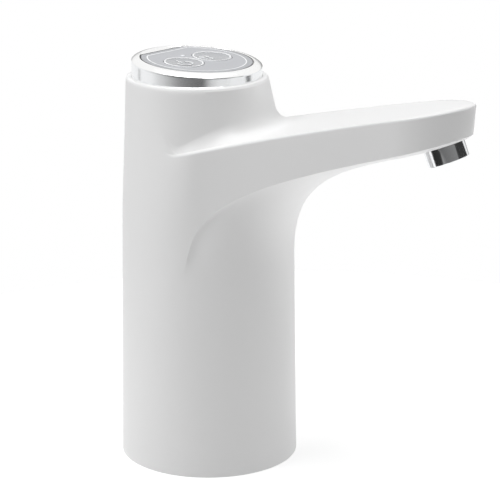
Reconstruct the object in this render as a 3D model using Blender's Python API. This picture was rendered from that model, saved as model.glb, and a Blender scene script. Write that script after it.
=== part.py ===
# Rechargeable pump for a large water bottle. A drafted column drops over the bottle neck,
# a spout arm with a scooped underside grows out of it, and a tilted control panel closes
# the top. Lengths are in metres, +Z is up, and the spout points along +X.
# Shapes are worked out about the column's own axis, which the root empty then places.
import math

import bmesh
import bpy
from mathutils import Matrix, Vector

mm = 0.001

# Clearances shared by every piece
seat_gap = 0.3 * mm
running_gap = 0.15 * mm
overrun = 3.0 * mm
weld_distance = 0.001 * mm
large_sides = 32
round_sides = 20
small_sides = 10
tiny_sides = 8
smooth_angle = math.radians(32)
screw_crown_share = 0.8

# Column
base_radius = 35.0 * mm
draft = 0.0155
shell_wall = 2.5 * mm
scoop_low_z = 80.0 * mm
taper_start_z = 98.0 * mm
taper_power = 1.35
rim_z = 151.2 * mm
rim_radius = 27.4 * mm
rim_shift = 4.5 * mm
rim_lip = 1.0 * mm
rim_land = 0.8 * mm
flange_drop = 11.0 * mm
flange_low_z = rim_z - flange_drop
flange_thickness = 2.4 * mm
flange_width = 2.6 * mm

# Spout arm
spout_reach = 108.1 * mm
spout_root_top_z = 126.6 * mm
spout_tip_top_z = 149.8 * mm
spout_top_sag = 1.1 * mm
spout_wall_angle = math.radians(18.7)
spout_shoulder_back = 24.1 * mm
spout_shoulder_x = spout_reach - spout_shoulder_back
spout_shoulder_half = 19.4 * mm
spout_shoulder_slope = 0.09
wall_root_handle = 17.6 * mm
wall_shoulder_handle = 17.2 * mm
nose_shoulder_handle = 15.6 * mm
nose_tip_handle = 4.45 * mm
nose_height = 11.4 * mm
nose_draft = -0.075
tip_low_z = spout_tip_top_z - nose_height
crease_root_x = 6.6 * mm
crease_root_pull = Vector((0, 30.5 * mm))
crease_tip_pull = Vector((81.4 * mm, 21.5 * mm))
scoop_front_z = 82.0 * mm
scoop_front_pull = 26.0 * mm
scoop_knee_back = 22.1 * mm
scoop_knee_drop = 8.8 * mm
scoop_knee = Vector((spout_reach - scoop_knee_back, tip_low_z - scoop_knee_drop))
scoop_knee_pull = Vector((39.0 * mm, 10.41 * mm))
scoop_nose_pull = 8.0 * mm
scoop_tip_pull = Vector((4.5 * mm, 2.7 * mm))
scoop_recess = 7.6 * mm
scoop_recess_span = math.radians(44)
scoop_recess_rise = 9.0 * mm
scoop_recess_fade_z = 124.0 * mm
edge_fillet = 1.2 * mm
ledge_fillet = 7.2 * mm
ledge_front_pull = 0.9
ledge_side_pull = 0.25
ledge_foot_share = 0.9
ledge_front_angle = math.radians(35)
ledge_side_angle = math.radians(65)
ledge_fade_angle = math.radians(84)
ledge_tip_angle = math.radians(102)
ledge_end_angle = math.radians(109)
ledge_run_out = 12.0 * mm

# How finely the shell's outer skin is sampled
nose_steps = 7
wall_steps = 8
arc_steps = 11
scoop_steps = 10
wall_rows = 1
edge_rows = 3
top_rows = 3
ledge_rows = 4
upper_rows = 2
curve_steps = 64
settle_rounds = 4
search_rounds = 24
hollow_steps = 9
hollow_shares = (-1, -0.8, -0.5, -0.2, 0.2, 0.5, 0.8, 1)

# Bottle neck socket and its seal
socket_wall = 2.0 * mm
socket_base_z = 0.6 * mm
socket_floor_z = 38.0 * mm
socket_land_width = 0.8 * mm
socket_land_height = 0.6 * mm
socket_floor = 3.0 * mm
socket_bore_radius = base_radius - draft * socket_floor_z - shell_wall
socket_radius = socket_bore_radius * math.cos(math.pi / large_sides) - seat_gap
seal_wall = 1.1 * mm
seal_lip = 1.2 * mm
seal_lip_height = 2.4 * mm
seal_low_z = 6.0 * mm
seal_high_z = 33.0 * mm
seal_lip_count = 3

# Chassis
chassis_inset = 0.8 * mm
chassis_radius = socket_radius - chassis_inset
chassis_floor = 2.2 * mm
chassis_wall = 1.6 * mm
shelf_rise = 15.0 * mm
shelf_thickness = 2.2 * mm
shelf_hole_radius = 5.2 * mm
leg_width = 5.0 * mm
leg_spread = 10.5 * mm
motor_ring_height = 4.0 * mm
motor_ring_share = 0.62
boss_radius = 3.2 * mm
boss_pitch_radius = 27.0 * mm
boss_height = 14.0 * mm
boss_angles = [math.radians(angle) for angle in (50, 130, 230, 310)]
screw_shank_radius = 1.0 * mm
screw_head_radius = 2.1 * mm
screw_head_height = 1.4 * mm
screw_bite = 8.0 * mm

# Battery
battery_radius = 9.2 * mm
battery_length = 65.0 * mm
battery_shift = 17.0 * mm
battery_nub_radius = 2.8 * mm
battery_nub_height = 1.0 * mm
battery_crown_share = 0.93
cradle_opening_angle = math.radians(110)

# Pump and motor, stacked upward from the shelf
pump_shift = 10.0 * mm
pump_radius = 13.2 * mm
damper_height = 1.8 * mm
damper_width = 2.6 * mm
head_height = 7.6 * mm
valve_plate_height = 2.4 * mm
diaphragm_sheet = 1.0 * mm
crank_case_height = 17.0 * mm
crank_case_wall = 1.5 * mm
crank_case_roof = 2.2 * mm
case_post_wall = 1.2 * mm
chamber_radius = 3.8 * mm
chamber_pitch_radius = 6.7 * mm
chamber_count = 3
wobble_rise = 6.6 * mm
wobble_tilt = math.radians(8)
yoke_thickness = 1.6 * mm
yoke_hub_radius = 2.8 * mm
yoke_hub_height = 2.2 * mm
yoke_arm_width = 2.8 * mm
yoke_pad_radius = 1.9 * mm
cup_neck_share = 0.8
cup_waist_share = 0.55
pin_radius = 0.8 * mm
pin_length = 5.8 * mm
rotor_radius = 5.6 * mm
rotor_height = 5.0 * mm
motor_radius = 12.2 * mm
motor_length = 31.0 * mm
motor_boss_radius = 3.1 * mm
motor_boss_height = 1.5 * mm
end_cap_height = 2.6 * mm
end_cap_radius = 9.6 * mm
terminal_height = 2.4 * mm
terminal_width = 2.0 * mm
terminal_thickness = 0.6 * mm
terminal_spread = 5.6 * mm
shaft_radius = 1.0 * mm
shaft_grip = 9.0 * mm
sleeve_wall = 1.8 * mm
head_screw_pitch_radius = 10.9 * mm
head_screw_radius = 0.8 * mm
head_screw_head_radius = 1.5 * mm
head_screw_bite = 6.0 * mm

# Hoses and barbs
hose_outer_radius = 2.7 * mm
hose_bore_radius = 2.0 * mm
barb_radius = 1.7 * mm
barb_length = 6.5 * mm
barb_flare = 0.2 * mm
passage_radius = 1.0 * mm
fitting_flange_radius = 6.4 * mm
fitting_flange_height = 1.8 * mm
fitting_stem_radius = 3.6 * mm
fitting_stem_length = 12.0 * mm
fitting_neck_radius = 3.4 * mm
fitting_barb_count = 3
fitting_barb_shares = (0.7, 0.75)
outlet_barb_angle = math.radians(235)
hose_entry_drop = 8.2 * mm
hose_middle_drop = 7.6 * mm

# Nozzle, measured along its own tilted axis from the mouth
nozzle_back = 9.5 * mm
nozzle_drop = 22.1 * mm
nozzle_mouth = Vector((spout_reach - nozzle_back, 0, spout_tip_top_z - nozzle_drop))
nozzle_tilt = math.radians(21.5)
nozzle_radius = 7.9 * mm
nozzle_wall = 0.8 * mm
nozzle_length = 10.6 * mm
nozzle_edge = 0.35 * mm
nozzle_boss_low = 7.5 * mm
nozzle_boss_high = 10.9 * mm
nozzle_boss_wall = 1.4 * mm
insert_recess = 1.0 * mm
insert_height = 2.6 * mm
insert_hole_radius = 1.1 * mm
insert_ring_radius = 3.9 * mm
insert_hole_count = 6
elbow_plug_length = 5.0 * mm
elbow_flange_width = 1.0 * mm
elbow_flange_radius = nozzle_radius + elbow_flange_width
elbow_flange_height = 1.2 * mm
nozzle_seal_height = 0.7 * mm
elbow_barb_drop = 11.6 * mm
elbow_barb_z = spout_tip_top_z - elbow_barb_drop
elbow_reach = 9.0 * mm

# Control panel, measured down from its tilted top face
panel_rise = 6.3 * mm
panel_z = rim_z + panel_rise
panel_tilt = math.atan(0.070)
panel_turn = math.radians(-14.5)
panel_radius = 21.6 * mm
panel_thickness = 1.2 * mm
panel_chord = 17.9 * mm
ring_radius = 25.1 * mm
ring_band = 4.4 * mm
ring_crown = 0.55 * mm
ring_inner_radius = 21.9 * mm
ring_shelf_width = 1.4 * mm
ring_skirt_gap = 0.9 * mm
key_radius = 7.7 * mm
key_pitch = 16.4 * mm
key_forward = 0.6 * mm
key_cap = 1.8 * mm
key_edge = 0.35 * mm
key_dish = 0.25 * mm
key_dish_shares = (0.5, 0.75)
key_stem_radius = 2.6 * mm
key_collar_radius = 3.5 * mm
key_collar_height = 0.9 * mm
key_travel = 0.5 * mm
guide_drop = 3.4 * mm
guide_thickness = 1.6 * mm
guide_radius = 21.0 * mm
board_drop = 8.8 * mm
board_thickness = 1.2 * mm
board_radius = 19.6 * mm
switch_size = 6.0 * mm
switch_height = 0.9 * mm
plunger_radius = 1.6 * mm
light_back = 7.3 * mm
light_radius = 0.9 * mm
light_flange_radius = 1.6 * mm
light_flange_height = 1.2 * mm
post_radius = 2.0 * mm
post_spread = 15.0 * mm
board_screw_radius = 0.8 * mm
board_screw_head = 1.5 * mm

# Charging port at the back
port_width = 9.0 * mm
port_height = 3.2 * mm
port_depth = 7.4 * mm
port_wall = 0.5 * mm
port_tongue = 0.7 * mm
port_recess = 0.4 * mm
charge_board_length = 15.0 * mm
charge_board_width = 17.0 * mm
charge_board_thickness = 1.2 * mm

# Wiring
wire_radius = 0.7 * mm
wire_side_step = 3.0 * mm

# Colour, metallic and roughness of each material
materials = {
    "white_shell": ((0.86, 0.86, 0.85), 0.0, 0.32),
    "white_inner": ((0.78, 0.78, 0.76), 0.0, 0.5),
    "chrome": ((0.82, 0.83, 0.84), 1.0, 0.12),
    "panel_silver": ((0.58, 0.59, 0.6), 0.6, 0.22),
    "key_silver": ((0.5, 0.51, 0.53), 0.5, 0.2),
    "clear_white": ((0.95, 0.97, 1.0), 0.0, 0.15),
    "steel": ((0.62, 0.62, 0.63), 1.0, 0.3),
    "black_plastic": ((0.03, 0.03, 0.03), 0.0, 0.45),
    "grey_plastic": ((0.35, 0.36, 0.37), 0.0, 0.5),
    "silicone": ((0.85, 0.86, 0.86), 0.0, 0.55),
    "black_rubber": ((0.02, 0.02, 0.02), 0.0, 0.8),
    "board_green": ((0.03, 0.22, 0.09), 0.0, 0.4),
    "cell_blue": ((0.05, 0.2, 0.55), 0.0, 0.35),
    "wire_red": ((0.6, 0.03, 0.03), 0.0, 0.5),
    "wire_black": ((0.03, 0.03, 0.03), 0.0, 0.5),
}


# Scene helpers

def clear_scene():
    for item in list(bpy.data.objects):
        bpy.data.objects.remove(item, do_unlink=True)


def get_material(name):
    found = bpy.data.materials.get(name)
    if found:
        return found
    colour, metallic, roughness = materials[name]
    made = bpy.data.materials.new(name)
    made.use_nodes = True
    shader = made.node_tree.nodes["Principled BSDF"]
    shader.inputs["Base Color"].default_value = (*colour, 1.0)
    shader.inputs["Metallic"].default_value = metallic
    shader.inputs["Roughness"].default_value = roughness
    made.diffuse_color = (*colour, 1.0)
    return made


def add_empty(name, location=(0, 0, 0), rotation=(0, 0, 0), parent=None):
    empty = bpy.data.objects.new(name, None)
    empty.location = location
    empty.rotation_euler = rotation
    empty.parent = parent
    bpy.context.scene.collection.objects.link(empty)
    return empty


def add_piece(name, mesh, material, parent, location=(0, 0, 0), rotation=(0, 0, 0)):
    piece = bpy.data.objects.new(name, mesh)
    piece.location = location
    piece.rotation_euler = rotation
    piece.parent = parent
    bpy.context.scene.collection.objects.link(piece)
    mesh.materials.clear()
    mesh.materials.append(get_material(material))
    mesh.shade_smooth()
    mesh.set_sharp_from_angle(angle=smooth_angle)
    return piece


def add_tool(name, mesh, parent, location=(0, 0, 0), rotation=(0, 0, 0)):
    tool = add_piece(name, mesh, "grey_plastic", parent, location, rotation)
    tool.hide_render = True
    tool.display_type = "WIRE"
    return tool


def boolean(piece, tool, operation):
    step = piece.modifiers.new(tool.name, "BOOLEAN")
    step.operation = operation
    step.solver = "EXACT"
    step.object = tool
    return step


def cut(piece, tool):
    return boolean(piece, tool, "DIFFERENCE")


def unite(piece, tool):
    return boolean(piece, tool, "UNION")


def to_mesh(name, bm):
    bmesh.ops.recalc_face_normals(bm, faces=bm.faces)
    mesh = bpy.data.meshes.new(name)
    bm.to_mesh(mesh)
    bm.free()
    return mesh


# Shape helpers

def turned(name, profile, sides=round_sides, ring=False):
    # A ring's profile closes on itself. Any other runs from the axis back to the axis.
    # Its flat ends become single faces, and a pointed end keeps its tip.
    bm = bmesh.new()
    points = list(profile)
    if not ring and points[0][1] == points[1][1]:
        points = points[1:]
    if not ring and points[-1][1] == points[-2][1]:
        points = points[:-1]
    verts = [bm.verts.new((radius, 0, height)) for radius, height in points]
    edges = [bm.edges.new(pair) for pair in zip(verts, verts[1:])]
    if ring:
        edges.append(bm.edges.new((verts[-1], verts[0])))
    bmesh.ops.spin(bm, geom=verts + edges, cent=(0, 0, 0), axis=(0, 0, 1),
                   angle=math.tau, steps=sides, use_merge=True)
    bmesh.ops.remove_doubles(bm, verts=bm.verts, dist=weld_distance)
    rims = [edge for edge in bm.edges if edge.is_boundary]
    if rims:
        bmesh.ops.holes_fill(bm, edges=rims, sides=sides)
    return to_mesh(name, bm)


def rod(name, radius, low, high, sides=round_sides):
    return turned(name, [(0, low), (radius, low), (radius, high), (0, high)], sides)


def pipe(name, inner, outer, low, high, sides=round_sides):
    return turned(name, [(inner, low), (outer, low), (outer, high), (inner, high)], sides, ring=True)


def block(name, low, high):
    size = [b - a for a, b in zip(low, high)]
    centre = [(a + b) / 2 for a, b in zip(low, high)]
    bm = bmesh.new()
    place = Matrix.Translation(centre) @ Matrix.Diagonal((*size, 1))
    bmesh.ops.create_cube(bm, size=1, matrix=place)
    return to_mesh(name, bm)


def prism(name, outline, low, high):
    bm = bmesh.new()
    face = bm.faces.new([bm.verts.new((x, y, low)) for x, y in outline])
    raised = bmesh.ops.extrude_face_region(bm, geom=[face])["geom"]
    moved = [item for item in raised if isinstance(item, bmesh.types.BMVert)]
    bmesh.ops.translate(bm, verts=moved, vec=(0, 0, high - low))
    return to_mesh(name, bm)


def lofted(name, rings, loop=False):
    bm = bmesh.new()
    rows = [[bm.verts.new(point) for point in ring] for ring in rings]
    pairs = list(zip(rows, rows[1:]))
    if loop:
        pairs.append((rows[-1], rows[0]))
    for low, high in pairs:
        count = len(low)
        for index in range(count):
            after = (index + 1) % count
            bm.faces.new((low[index], low[after], high[after], high[index]))
    if not loop:
        bm.faces.new(rows[0])
        bm.faces.new(rows[-1])
    bmesh.ops.triangulate(bm, faces=bm.faces)
    return to_mesh(name, bm)


def circle(radius, height, centre=0.0, sides=round_sides):
    turns = [math.tau * index / sides for index in range(sides)]
    return [(centre + radius * math.cos(turn), radius * math.sin(turn), height) for turn in turns]


def smooth_route(points, steps):
    # A Catmull-Rom curve through the route's own points
    ends = [points[0] * 2 - points[1]] + points + [points[-1] * 2 - points[-2]]
    route = []
    for index in range(len(points) - 1):
        a, b, c, d = ends[index:index + 4]
        for step in range(steps):
            t = step / steps
            bend = b * 2 + (c - a) * t
            bend += (a * 2 - b * 5 + c * 4 - d) * t ** 2
            bend += (b * 3 - a - c * 3 + d) * t ** 3
            route.append(bend / 2)
    route.append(points[-1])
    return route


def hose_mesh(name, points, outer, inner, steps=3, sides=8):
    route = smooth_route(points, steps)
    tangents = []
    for index in range(len(route)):
        before = route[max(index - 1, 0)]
        after = route[min(index + 1, len(route) - 1)]
        tangents.append((after - before).normalized())
    side = tangents[0].orthogonal().normalized()
    frames = []
    for tangent in tangents:
        side = (side - tangent * side.dot(tangent)).normalized()
        frames.append((side, tangent.cross(side)))

    def skin(radius):
        rings = []
        for centre, (across, up) in zip(route, frames):
            turns = [math.tau * index / sides for index in range(sides)]
            rings.append([centre + (across * math.cos(turn) + up * math.sin(turn)) * radius
                          for turn in turns])
        return rings

    return lofted(name, skin(outer) + skin(inner)[::-1], loop=True)


def add_wire(name, material, points, parent, steps=4):
    data = bpy.data.curves.new(name, "CURVE")
    data.dimensions = "3D"
    data.bevel_depth = wire_radius
    data.bevel_resolution = 1
    data.use_fill_caps = True
    route = smooth_route(points, steps)
    line = data.splines.new("POLY")
    line.points.add(len(route) - 1)
    for place, point in zip(line.points, route):
        place.co = (*point, 1)
    wire = bpy.data.objects.new(name, data)
    wire.parent = parent
    data.materials.append(get_material(material))
    bpy.context.scene.collection.objects.link(wire)
    return wire


def bezier(points, share):
    a, b, c, d = points
    rest = 1 - share
    return a * rest ** 3 + b * 3 * rest ** 2 * share + c * 3 * rest * share ** 2 + d * share ** 3


def sample(points):
    return [bezier(points, step / curve_steps) for step in range(curve_steps + 1)]


def read_curve(curve, value, known, wanted):
    # Straight interpolation along a sampled curve, from one coordinate to the other
    for a, b in zip(curve, curve[1:]):
        if a[known] <= value <= b[known] and b[known] > a[known]:
            share = (value - a[known]) / (b[known] - a[known])
            return a[wanted] + (b[wanted] - a[wanted]) * share
    return curve[0][wanted] if value < curve[0][known] else curve[-1][wanted]


def ease(share):
    held = min(max(share, 0), 1)
    return held * held * (3 - 2 * held)


# The curves that drive the shell

def column_radius(z):
    return base_radius - draft * z


def top_z(x):
    # The top face rises from the column's axis to the tip, and is level behind the axis
    share = max(x, 0) / spout_reach
    line = spout_root_top_z + (spout_tip_top_z - spout_root_top_z) * share
    return line + 4 * spout_top_sag * share * (1 - share)


ledge_radius = column_radius(spout_root_top_z)
wall_root = Vector((ledge_radius * math.sin(spout_wall_angle),
                    ledge_radius * math.cos(spout_wall_angle)))
wall_root_turn = Vector((math.cos(spout_wall_angle), -math.sin(spout_wall_angle)))
shoulder = Vector((spout_shoulder_x, spout_shoulder_half))
shoulder_turn = Vector((1, -spout_shoulder_slope))
spout_tip = Vector((spout_reach, 0))
wall_curve = sample([wall_root, wall_root + wall_root_turn * wall_root_handle,
                     shoulder - shoulder_turn * wall_shoulder_handle, shoulder])
nose_curve = sample([shoulder, shoulder + shoulder_turn * nose_shoulder_handle,
                     spout_tip + Vector((0, nose_tip_handle)), spout_tip])
plan_curve = wall_curve + nose_curve[1:]

crease_root = Vector((crease_root_x, scoop_low_z))
crease_tip = Vector((spout_reach, tip_low_z))
crease_curve = sample([crease_root, crease_root + crease_root_pull,
                       crease_tip - crease_tip_pull, crease_tip])

scoop_root = Vector((column_radius(scoop_front_z), scoop_front_z))
knee_turn = scoop_knee_pull / scoop_knee_pull.length
scoop_curve = sample([scoop_root, scoop_root + Vector((0, scoop_front_pull)),
                      scoop_knee - scoop_knee_pull, scoop_knee])
scoop_curve += sample([scoop_knee, scoop_knee + knee_turn * scoop_nose_pull,
                       crease_tip - scoop_tip_pull, crease_tip])[1:]


def taper_share(z):
    if z <= taper_start_z:
        return 0.0
    return ((z - taper_start_z) / (rim_z - taper_start_z)) ** taper_power


def section(z, inset=0.0):
    # The column's round section at a height, as its centre and radius
    share = taper_share(z)
    radius = column_radius(z) * (1 - share) + rim_radius * share
    return -rim_shift * share, radius - inset


def section_radius(angle, z, inset=0.0):
    centre, radius = section(z, inset)
    across = centre * math.sin(angle)
    return centre * math.cos(angle) + math.sqrt(radius ** 2 - across ** 2)


def side_draft(x):
    # The arm's sides spread downward, and its nose leans back toward its lower edge
    share = ease((x - spout_shoulder_x) / spout_shoulder_back)
    return draft * (1 - share) + nose_draft * share


def half_width(x, z):
    if x < wall_root.x:
        return math.sqrt(column_radius(z) ** 2 - x ** 2)
    return read_curve(plan_curve, x, 0, 1) + side_draft(x) * (top_z(x) - z)


def scoop_radius(angle, z):
    # Level cuts through the underside are arcs from one crease over the front to the other
    front = column_radius(z)
    if z > scoop_front_z:
        front = read_curve(scoop_curve, z, 1, 0)
    corner = read_curve(crease_curve, z, 1, 0)
    half = half_width(corner, z)
    depth = front - corner
    if depth < weld_distance:
        return front
    radius = (half ** 2 + depth ** 2) / (2 * depth)
    centre = front - radius
    across = min(abs(centre * math.sin(angle)), radius)
    reach = centre * math.cos(angle) + math.sqrt(radius ** 2 - across ** 2)
    return reach - crease_dip(abs(angle), z, math.atan2(half, corner))


def crease_dip(angle, z, crease_angle):
    # Just inside the crease the underside dips a little, then eases back onto its arc
    share = (crease_angle - angle) / scoop_recess_span
    if not 0 < share < 1:
        return 0.0
    height = ease((z - scoop_low_z) / scoop_recess_rise)
    height *= ease((scoop_recess_fade_z - z) / (scoop_recess_fade_z - taper_start_z))
    return scoop_recess * height * share * (1 - share) ** 2


def shell_stations():
    # Directions round the column's axis, from the spout's tip to the back of the column.
    # Each holds its angle, the radius and height of the arm's top edge there, how much of
    # the ledge is left, and whether the direction meets the arm.
    stations = []
    edge_points = [nose_curve[-1 - step * curve_steps // nose_steps] for step in range(nose_steps)]
    edge_points += [wall_curve[-1 - step * curve_steps // wall_steps] for step in range(wall_steps + 1)]
    for point in edge_points:
        stations.append((math.atan2(point.y, point.x), point.length, top_z(point.x), 1.0, True))
    start = stations[-1][0]
    for step in range(1, arc_steps + 1):
        angle = start + (math.pi - start) * step / arc_steps
        height = top_z(ledge_radius * math.cos(angle))
        hold = 1 - ease((angle - start) / (ledge_end_angle - start))
        radius = hold * column_radius(height) + (1 - hold) * section_radius(angle, height)
        stations.append((angle, radius, height, hold, False))
    return stations


def station_rows(station):
    angle, edge_radius, edge_z, hold, on_arm = station
    corner_x = edge_radius * math.cos(angle)

    def wall(z):
        if on_arm:
            return edge_radius + side_draft(corner_x) * (edge_z - z)
        return hold * column_radius(z) + (1 - hold) * section_radius(angle, z)

    def roof(radius):
        return top_z(radius * math.cos(angle))

    # Behind the crease's foot there is no underside, and the rows climb the plain wall
    scooped = corner_x > crease_root_x
    crease_z = read_curve(crease_curve, max(corner_x, crease_root_x * (1 + draft)), 0, 1)
    rows = [(column_radius(0), 0), (column_radius(scoop_low_z), scoop_low_z)]
    for step in range(1, scoop_steps):
        z = scoop_low_z + (crease_z - scoop_low_z) * step / scoop_steps
        rows.append((min(scoop_radius(angle, z), wall(z)) if scooped else wall(z), z))
    rows.append((wall(crease_z), crease_z))

    edge_low_z = edge_z - edge_fillet
    for step in range(1, wall_rows + 1):
        z = crease_z + (edge_low_z - crease_z) * step / wall_rows
        rows.append((wall(z), z))

    # Edge fillet, top face and ledge fillet where the arm stands proud of the column
    join_z = edge_z
    for _ in range(settle_rounds):
        join_z = roof(section_radius(angle, join_z))
    join_radius = section_radius(angle, join_z)
    ledge = max(edge_radius - join_radius, 0)
    fillet = min(edge_fillet, ledge / 2)
    inner_edge = edge_radius - fillet
    foot_radius = join_radius + min(ledge_fillet, (inner_edge - join_radius) * ledge_foot_share)
    proud = []
    for step in range(1, edge_rows + 1):
        turn = math.pi / 2 * step / edge_rows
        rise = (edge_fillet - (edge_z - roof(inner_edge))) * math.sin(turn)
        proud.append((inner_edge + fillet * math.cos(turn), edge_low_z + rise))
    for step in range(1, top_rows + 1):
        radius = inner_edge + (foot_radius - inner_edge) * step / top_rows
        proud.append((radius, roof(radius)))
    grown = min(max((ledge_tip_angle - angle) / (ledge_tip_angle - ledge_front_angle), 0), 1)
    head_z = join_z + ledge_fillet * math.sin(math.pi / 2 * grown)
    side_share = ease((angle - ledge_front_angle) / (ledge_side_angle - ledge_front_angle))
    pull = ledge_front_pull + (ledge_side_pull - ledge_front_pull) * side_share
    radii = (foot_radius, join_radius, section_radius(angle, head_z))
    heights = (roof(foot_radius), join_z, head_z)
    for step in range(1, ledge_rows + 1):
        t = step / ledge_rows
        weights = ((1 - t) ** 2, 2 * t * (1 - t) * pull, t ** 2)
        proud.append((sum(w * r for w, r in zip(weights, radii)) / sum(weights),
                      sum(w * h for w, h in zip(weights, heights)) / sum(weights)))

    # Toward its end the ledge melts into a soft slope that climbs the column's side
    proud_share = ease((ledge_tip_angle - angle) / (ledge_tip_angle - ledge_fade_angle))
    slope_rise = join_z + ledge_run_out - edge_low_z
    for index, (radius, z) in enumerate(proud, 1):
        share = index / len(proud)
        slope_z = edge_low_z + slope_rise * share
        inner = section_radius(angle, slope_z)
        slope = inner + (wall(slope_z) - inner) * (1 - ease(share))
        rows.append((slope + (radius - slope) * proud_share, slope_z + (z - slope_z) * proud_share))

    lip_z = rim_z - rim_lip
    ledge_end_z = rows[-1][1]
    for step in range(1, upper_rows + 1):
        z = ledge_end_z + (lip_z - ledge_end_z) * step / upper_rows
        rows.append((section_radius(angle, z), z))
    for step in range(1, edge_rows + 1):
        turn = math.pi / 2 * step / edge_rows
        inset = rim_lip * (1 - math.cos(turn))
        rows.append((section_radius(angle, rim_z, inset), lip_z + rim_lip * math.sin(turn)))
    rows.append((section_radius(angle, rim_z, rim_lip + rim_land), rim_z))
    return rows


def shell_skin():
    half = [(station[0], station_rows(station)) for station in shell_stations()]
    columns = half + [(-angle, rows) for angle, rows in half[-2:0:-1]]
    rings = []
    for row in range(len(half[0][1])):
        ring = []
        for angle, rows in columns:
            radius, z = rows[row]
            ring.append((radius * math.cos(angle), radius * math.sin(angle), z))
        rings.append(ring)
    return lofted("shell_skin", rings)


def underside_z(x, y):
    # The height at which the underside passes through a point in plan
    angle = math.atan2(y, x)
    radius = math.hypot(x, y)
    low, high = scoop_front_z, tip_low_z
    for _ in range(search_rounds):
        middle = (low + high) / 2
        if scoop_radius(angle, middle) < radius:
            low = middle
        else:
            high = middle
    return high


def arm_hollow():
    # The space inside the arm, cut square to the spout at steps along it. Within the column
    # its floor stays level with where the arm begins, clear of the column's own wall.
    clear = column_radius(scoop_front_z) + 2 * shell_wall
    rings = []
    first = wall_root.x
    last = spout_reach - 2 * shell_wall
    for step in range(hollow_steps + 1):
        x = first + (last - first) * step / hollow_steps
        width = read_curve(plan_curve, x, 0, 1) - shell_wall
        roof = top_z(x) - shell_wall
        ahead = max(x + shell_wall, clear)
        ahead_width = read_curve(plan_curve, ahead, 0, 1) - shell_wall
        ring = []
        for share in hollow_shares:
            ring.append((x, width * share, underside_z(ahead, ahead_width * share) + shell_wall))
        ring += [(x, width, roof), (x, -width, roof)]
        rings.append(ring)
    return lofted("arm_hollow", rings)


def build_shell(root, nozzle_frame):
    shell = add_piece("outer_shell", shell_skin(), "white_shell", root)

    flange_high_z = flange_low_z + flange_thickness
    heights = [-overrun, taper_start_z]
    for step in range(1, ledge_rows + 1):
        heights.append(taper_start_z + (flange_low_z - taper_start_z) * step / ledge_rows)
    rings = [circle(section(z, shell_wall)[1], z, section(z)[0], large_sides) for z in heights]
    cut(shell, add_tool("column_hollow", lofted("column_hollow", rings), root))
    cut(shell, add_tool("arm_hollow", arm_hollow(), root))

    pocket = ring_radius + seat_gap
    steps = [(0, flange_low_z - overrun), (pocket - flange_width, flange_low_z - overrun),
             (pocket - flange_width, flange_high_z), (pocket, flange_high_z),
             (pocket, rim_z + overrun), (0, rim_z + overrun)]
    pocket_mesh = turned("panel_pocket", steps, large_sides)
    cut(shell, add_tool("panel_pocket", pocket_mesh, root, (-rim_shift, 0, 0)))

    # Each screw boss is round on its inner side and runs straight out into the wall
    low = chassis_top_z + seat_gap
    wall_reach = column_radius(low) - shell_wall / 2 - boss_pitch_radius
    turns = [math.pi / 2 + math.pi * step / small_sides for step in range(small_sides + 1)]
    outline = [(boss_radius * math.cos(turn), boss_radius * math.sin(turn)) for turn in turns]
    outline += [(wall_reach, -boss_radius), (wall_reach, boss_radius)]
    for index, angle in enumerate(boss_angles, 1):
        place = (boss_pitch_radius * math.cos(angle), boss_pitch_radius * math.sin(angle), 0)
        boss = prism("shell_boss", outline, low, low + boss_height)
        unite(shell, add_tool(f"shell_boss_{index}", boss, root, place, (0, 0, angle)))
        hole = rod("boss_hole", screw_shank_radius + running_gap, low - overrun,
                   low + screw_bite + seat_gap, small_sides)
        cut(shell, add_tool(f"boss_hole_{index}", hole, root, place))

    socket = nozzle_radius + seat_gap
    boss = rod("nozzle_boss", socket + nozzle_boss_wall, nozzle_boss_low, nozzle_boss_high)
    unite(shell, add_tool("nozzle_boss", boss, nozzle_frame))
    bore = rod("nozzle_bore", socket, -overrun, nozzle_boss_high + overrun)
    cut(shell, add_tool("nozzle_bore", bore, nozzle_frame))

    half_w = port_width / 2 + seat_gap
    back = column_radius(port_z) + overrun
    slot = block("port_slot", (-back, -half_w, port_low_z - seat_gap),
                 (-back + 2 * overrun + shell_wall, half_w, port_low_z + port_height + seat_gap))
    cut(shell, add_tool("port_slot", slot, root))
    return shell


# Bottle neck end

def build_neck(root):
    inner = socket_radius - socket_wall
    fitting_hole = fitting_neck_radius + seat_gap
    top = socket_floor_z + socket_floor
    land = inner - socket_land_width
    groove_z = socket_floor_z + socket_land_height
    profile = [(0, socket_floor_z), (land, socket_floor_z), (land, groove_z), (inner, groove_z),
               (inner, socket_base_z), (socket_radius, socket_base_z), (socket_radius, top), (0, top)]
    socket = add_piece("neck_socket", turned("neck_socket", profile, large_sides), "white_inner", root)
    hole = rod("socket_port", fitting_hole, socket_floor_z - overrun, top + overrun, small_sides)
    cut(socket, add_tool("socket_port", hole, root, (pump_shift, 0, 0)))
    for index, angle in enumerate(boss_angles, 1):
        place = (boss_pitch_radius * math.cos(angle), boss_pitch_radius * math.sin(angle), 0)
        hole = rod("socket_screw_hole", screw_shank_radius + seat_gap, socket_floor_z - overrun,
                   top + overrun, small_sides)
        cut(socket, add_tool(f"socket_screw_hole_{index}", hole, root, place))

    outer = inner - seat_gap
    bore = outer - seal_wall
    lip = bore - seal_lip
    profile = [(outer, seal_low_z), (outer, seal_high_z), (bore, seal_high_z)]
    pitch = (seal_high_z - seal_low_z) / seal_lip_count
    for step in range(seal_lip_count):
        middle = seal_high_z - pitch * (step + 0.5)
        profile += [(bore, middle + seal_lip_height / 2), (lip, middle),
                    (bore, middle - seal_lip_height / 2)]
    profile.append((bore, seal_low_z))
    add_piece("neck_seal", turned("neck_seal", profile, ring=True), "silicone", root)


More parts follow.
